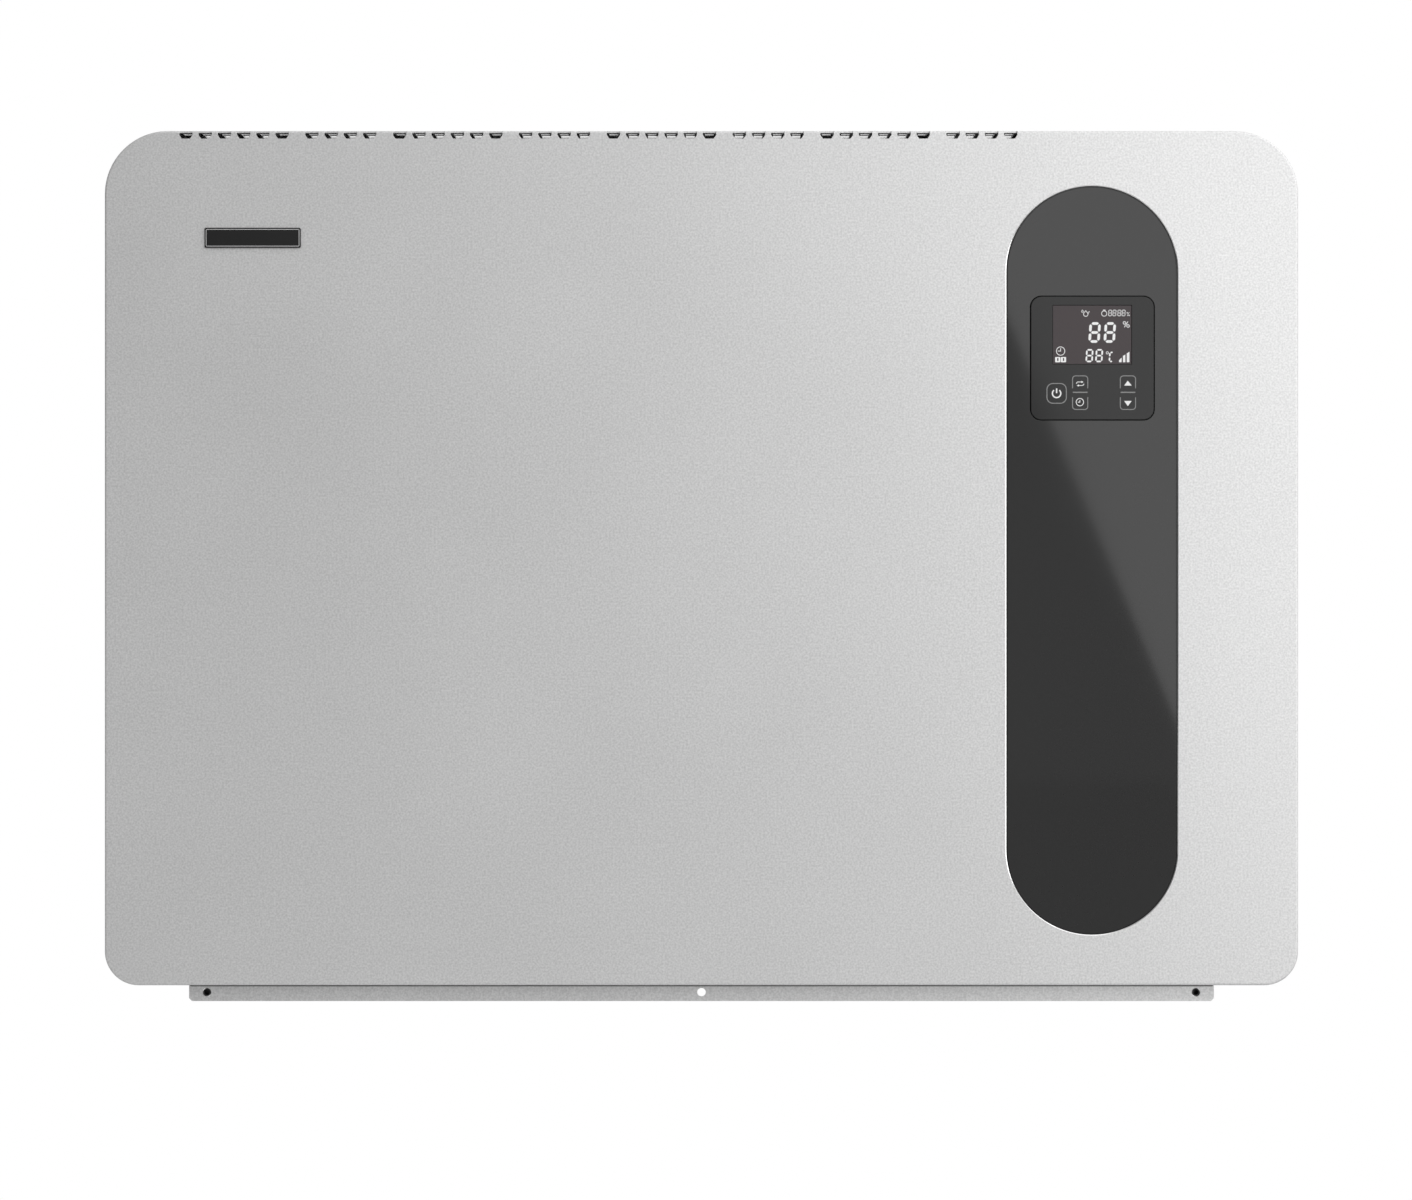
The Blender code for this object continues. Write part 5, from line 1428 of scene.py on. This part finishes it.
def case_details():
    """Cable bushes under the electrical case's floor, and its fixing screws."""
    bottom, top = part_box("electrical_box")
    bm = bmesh.new()
    for x in (0.372, 0.418, 0.452):
        profile = [(0.0050, bottom.z - 0.0015), (0.0082, bottom.z - 0.0015), (0.0090, bottom.z - 0.0006),
                   (0.0090, bottom.z - GAP), (0.0050, bottom.z - GAP)]
        add_turned(bm, profile, (x, -0.185), "Z", 40, closed=True)
    piece("case_bushes", bm, "rubber", "chassis")
    bm = bmesh.new()
    for x in (bottom.x + 0.012, top.x - 0.012):
        for z in (bottom.z + 0.030, top.z - 0.030):
            add_dome(bm, (x, z), "Y", top.y - 0.0015, 0.0036, -0.0018)
    piece("case_screws", bm, "zinc_screw", "chassis")


# ---------------------------------------------------------------- filter
def filter_net():
    """Two layers of crossing threads between the frame's bars."""
    bottom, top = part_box("filter_mesh")
    pitch, half = 0.0032, 0.00028
    middle = (bottom.z + top.z) / 2
    bm = bmesh.new()
    for low_z, high_z, axis in ((middle - 2 * half, middle, 0), (middle, middle + 2 * half, 1)):
        length = top[axis] - bottom[axis]
        count = int(length / pitch)
        for i in range(1, count):
            place = bottom[axis] + i * length / count
            corners = [list(bottom), list(top)]
            corners[0][axis], corners[1][axis] = place - half, place + half
            corners[0][2], corners[1][2] = low_z, high_z
            add_box(bm, *corners)
    piece("filter_net", bm, "mesh_black", "filter", ["filter_mesh"])


def filter_frame_details():
    """Grip ridges on the filter's pull tab."""
    bottom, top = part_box("filter_frame")
    y = (bottom.y + top.y) / 2
    bm = bmesh.new()
    for i in range(4):
        x = bottom.x + 0.002 + i * 0.0032
        corners = (x, y - 0.015, bottom.z + 0.0004), (x + 0.0014, y + 0.015, bottom.z + 0.0011)
        add_block(bm, *corners, 0.0003, "Y")
    piece("filter_grip", bm, "grey_plastic", "filter")


# ---------------------------------------------------------------- studio
CAMERA_AT = Vector((0.0038, -2.455, -0.2831))
SENSOR = 36.0
LENS = 66.98
WORLD_BASE = 0.30
WORLD_RIGHT = 0.74          # added towards the right of the room
WORLD_SPAN = (-0.30, 0.09)  # sideways share of the direction over which it grows
WORLD_BAND = (0.62, 1.45)   # at the horizon and well above it
KEY_RADIANCE = 1.20
EDGE_RADIANCE = 2.4         # tall narrow card at the far right that picks out edges facing it


def camera():
    data = bpy.data.cameras.new("camera")
    data.sensor_width = SENSOR
    data.lens = LENS
    made = bpy.data.objects.new("camera", data)
    made.location = CAMERA_AT
    made.rotation_euler = (math.radians(90), 0, 0)
    bpy.context.scene.collection.objects.link(made)
    bpy.context.scene.camera = made


def split_by_eye(tree, seen, unseen, output):
    """One shader straight to the eye and another for everything it lights."""
    path = tree.nodes.new("ShaderNodeLightPath")
    mix = tree.nodes.new("ShaderNodeMixShader")
    tree.links.new(path.outputs["Is Camera Ray"], mix.inputs["Fac"])
    tree.links.new(unseen.outputs[0], mix.inputs[1])
    tree.links.new(seen.outputs[0], mix.inputs[2])
    tree.links.new(mix.outputs[0], output.inputs["Surface"])


def world():
    """White behind the unit; the light it gives grows towards the right of the room."""
    made = bpy.data.worlds.new("studio")
    bpy.context.scene.world = made
    made.use_nodes = True
    tree = made.node_tree
    tree.nodes.clear()
    output = tree.nodes.new("ShaderNodeOutputWorld")
    seen = tree.nodes.new("ShaderNodeBackground")
    seen.inputs["Color"].default_value = (1, 1, 1, 1)
    unseen = tree.nodes.new("ShaderNodeBackground")
    unseen.inputs["Color"].default_value = (1, 1, 1, 1)
    direction = tree.nodes.new("ShaderNodeSeparateXYZ")
    tree.links.new(tree.nodes.new("ShaderNodeTexCoord").outputs["Generated"], direction.inputs[0])
    growth = remap(tree, direction.outputs["X"], WORLD_BASE, WORLD_BASE + WORLD_RIGHT, *WORLD_SPAN)
    growth = multiply(tree, growth, remap(tree, direction.outputs["Z"], *WORLD_BAND, 0.15, 0.60))
    tree.links.new(growth, unseen.inputs["Strength"])
    split_by_eye(tree, seen, unseen, output)


def floor():
    bm = bmesh.new()
    bmesh.ops.create_grid(bm, x_segments=1, y_segments=1, size=12.0)
    made = mesh_object("floor", bm)
    made.location = (0, 0, -1.25)
    finish = bpy.data.materials.new("floor_white")
    finish.use_nodes = True
    tree = finish.node_tree
    tree.nodes.clear()
    output = tree.nodes.new("ShaderNodeOutputMaterial")
    seen = tree.nodes.new("ShaderNodeEmission")
    unseen = tree.nodes.new("ShaderNodeBsdfDiffuse")
    unseen.inputs["Color"].default_value = (0.58, 0.58, 0.58, 1)
    split_by_eye(tree, seen, unseen, output)
    made.data.materials.append(finish)


def card(name, middle, right, up, radiance):
    """Rectangular soft light given by its centre, its two half sides and its brightness."""
    data = bpy.data.lights.new(name, "AREA")
    data.shape = "RECTANGLE"
    data.size = 2 * right.length
    data.size_y = 2 * up.length
    data.energy = radiance * math.pi * data.size * data.size_y
    made = bpy.data.objects.new(name, data)
    basis = [right.normalized(), up.normalized(), right.cross(up).normalized()]
    made.matrix_world = Matrix.Translation(middle) @ Matrix(basis).transposed().to_4x4()
    bpy.context.scene.collection.objects.link(made)


def lights():
    """Large card to the right of the camera, whose slanted near edge shows in the strip, and an edge card."""
    edge_low = Vector((0.7926, CAMERA_AT.y, -0.4886))
    edge_high = Vector((0.508, CAMERA_AT.y, 0.1932))
    half_up, half_side = 1.6, 1.4
    up = (edge_high - edge_low).normalized()
    right = Vector((up.z, 0, -up.x))
    middle = (edge_low + edge_high) / 2 + right * half_side
    card("key_card", middle, right * half_side, up * half_up, KEY_RADIANCE)
    edge_middle, edge_side, edge_up = Vector((2.4, -1.0, 0.3)), Vector((0, 0.20, 0)), Vector((0, 0, 1.1))
    card("edge_card", edge_middle, edge_side, edge_up, EDGE_RADIANCE)


def view_settings():
    settings = bpy.context.scene.view_settings
    settings.view_transform = "Standard"
    settings.look = "None"


camera()
world()
floor()
lights()
view_settings()
dress_cad()
front_cover()
cover_stiffeners()
control_strip()
strip_edge_highlight()
strip_fasteners()
badge_highlight_line()
cover_screws()
display_marks()
key_marks()
panel_fasteners()
lip_shadow_bead()
panel_beads()
bracket_details()
for coil in ("evaporator", "condenser"):
    fin_stack(coil)
    serpentine(coil)
    coil_collars(coil)
grommets()
for side in ("left", "right"):
    fan_wheel(side)
    blower_housing(side)
fan_motor()
motor_strap()
compressor()
terminal_cover()
vessels()
main_board()
power_parts()
case_details()
filter_net()
filter_frame_details()
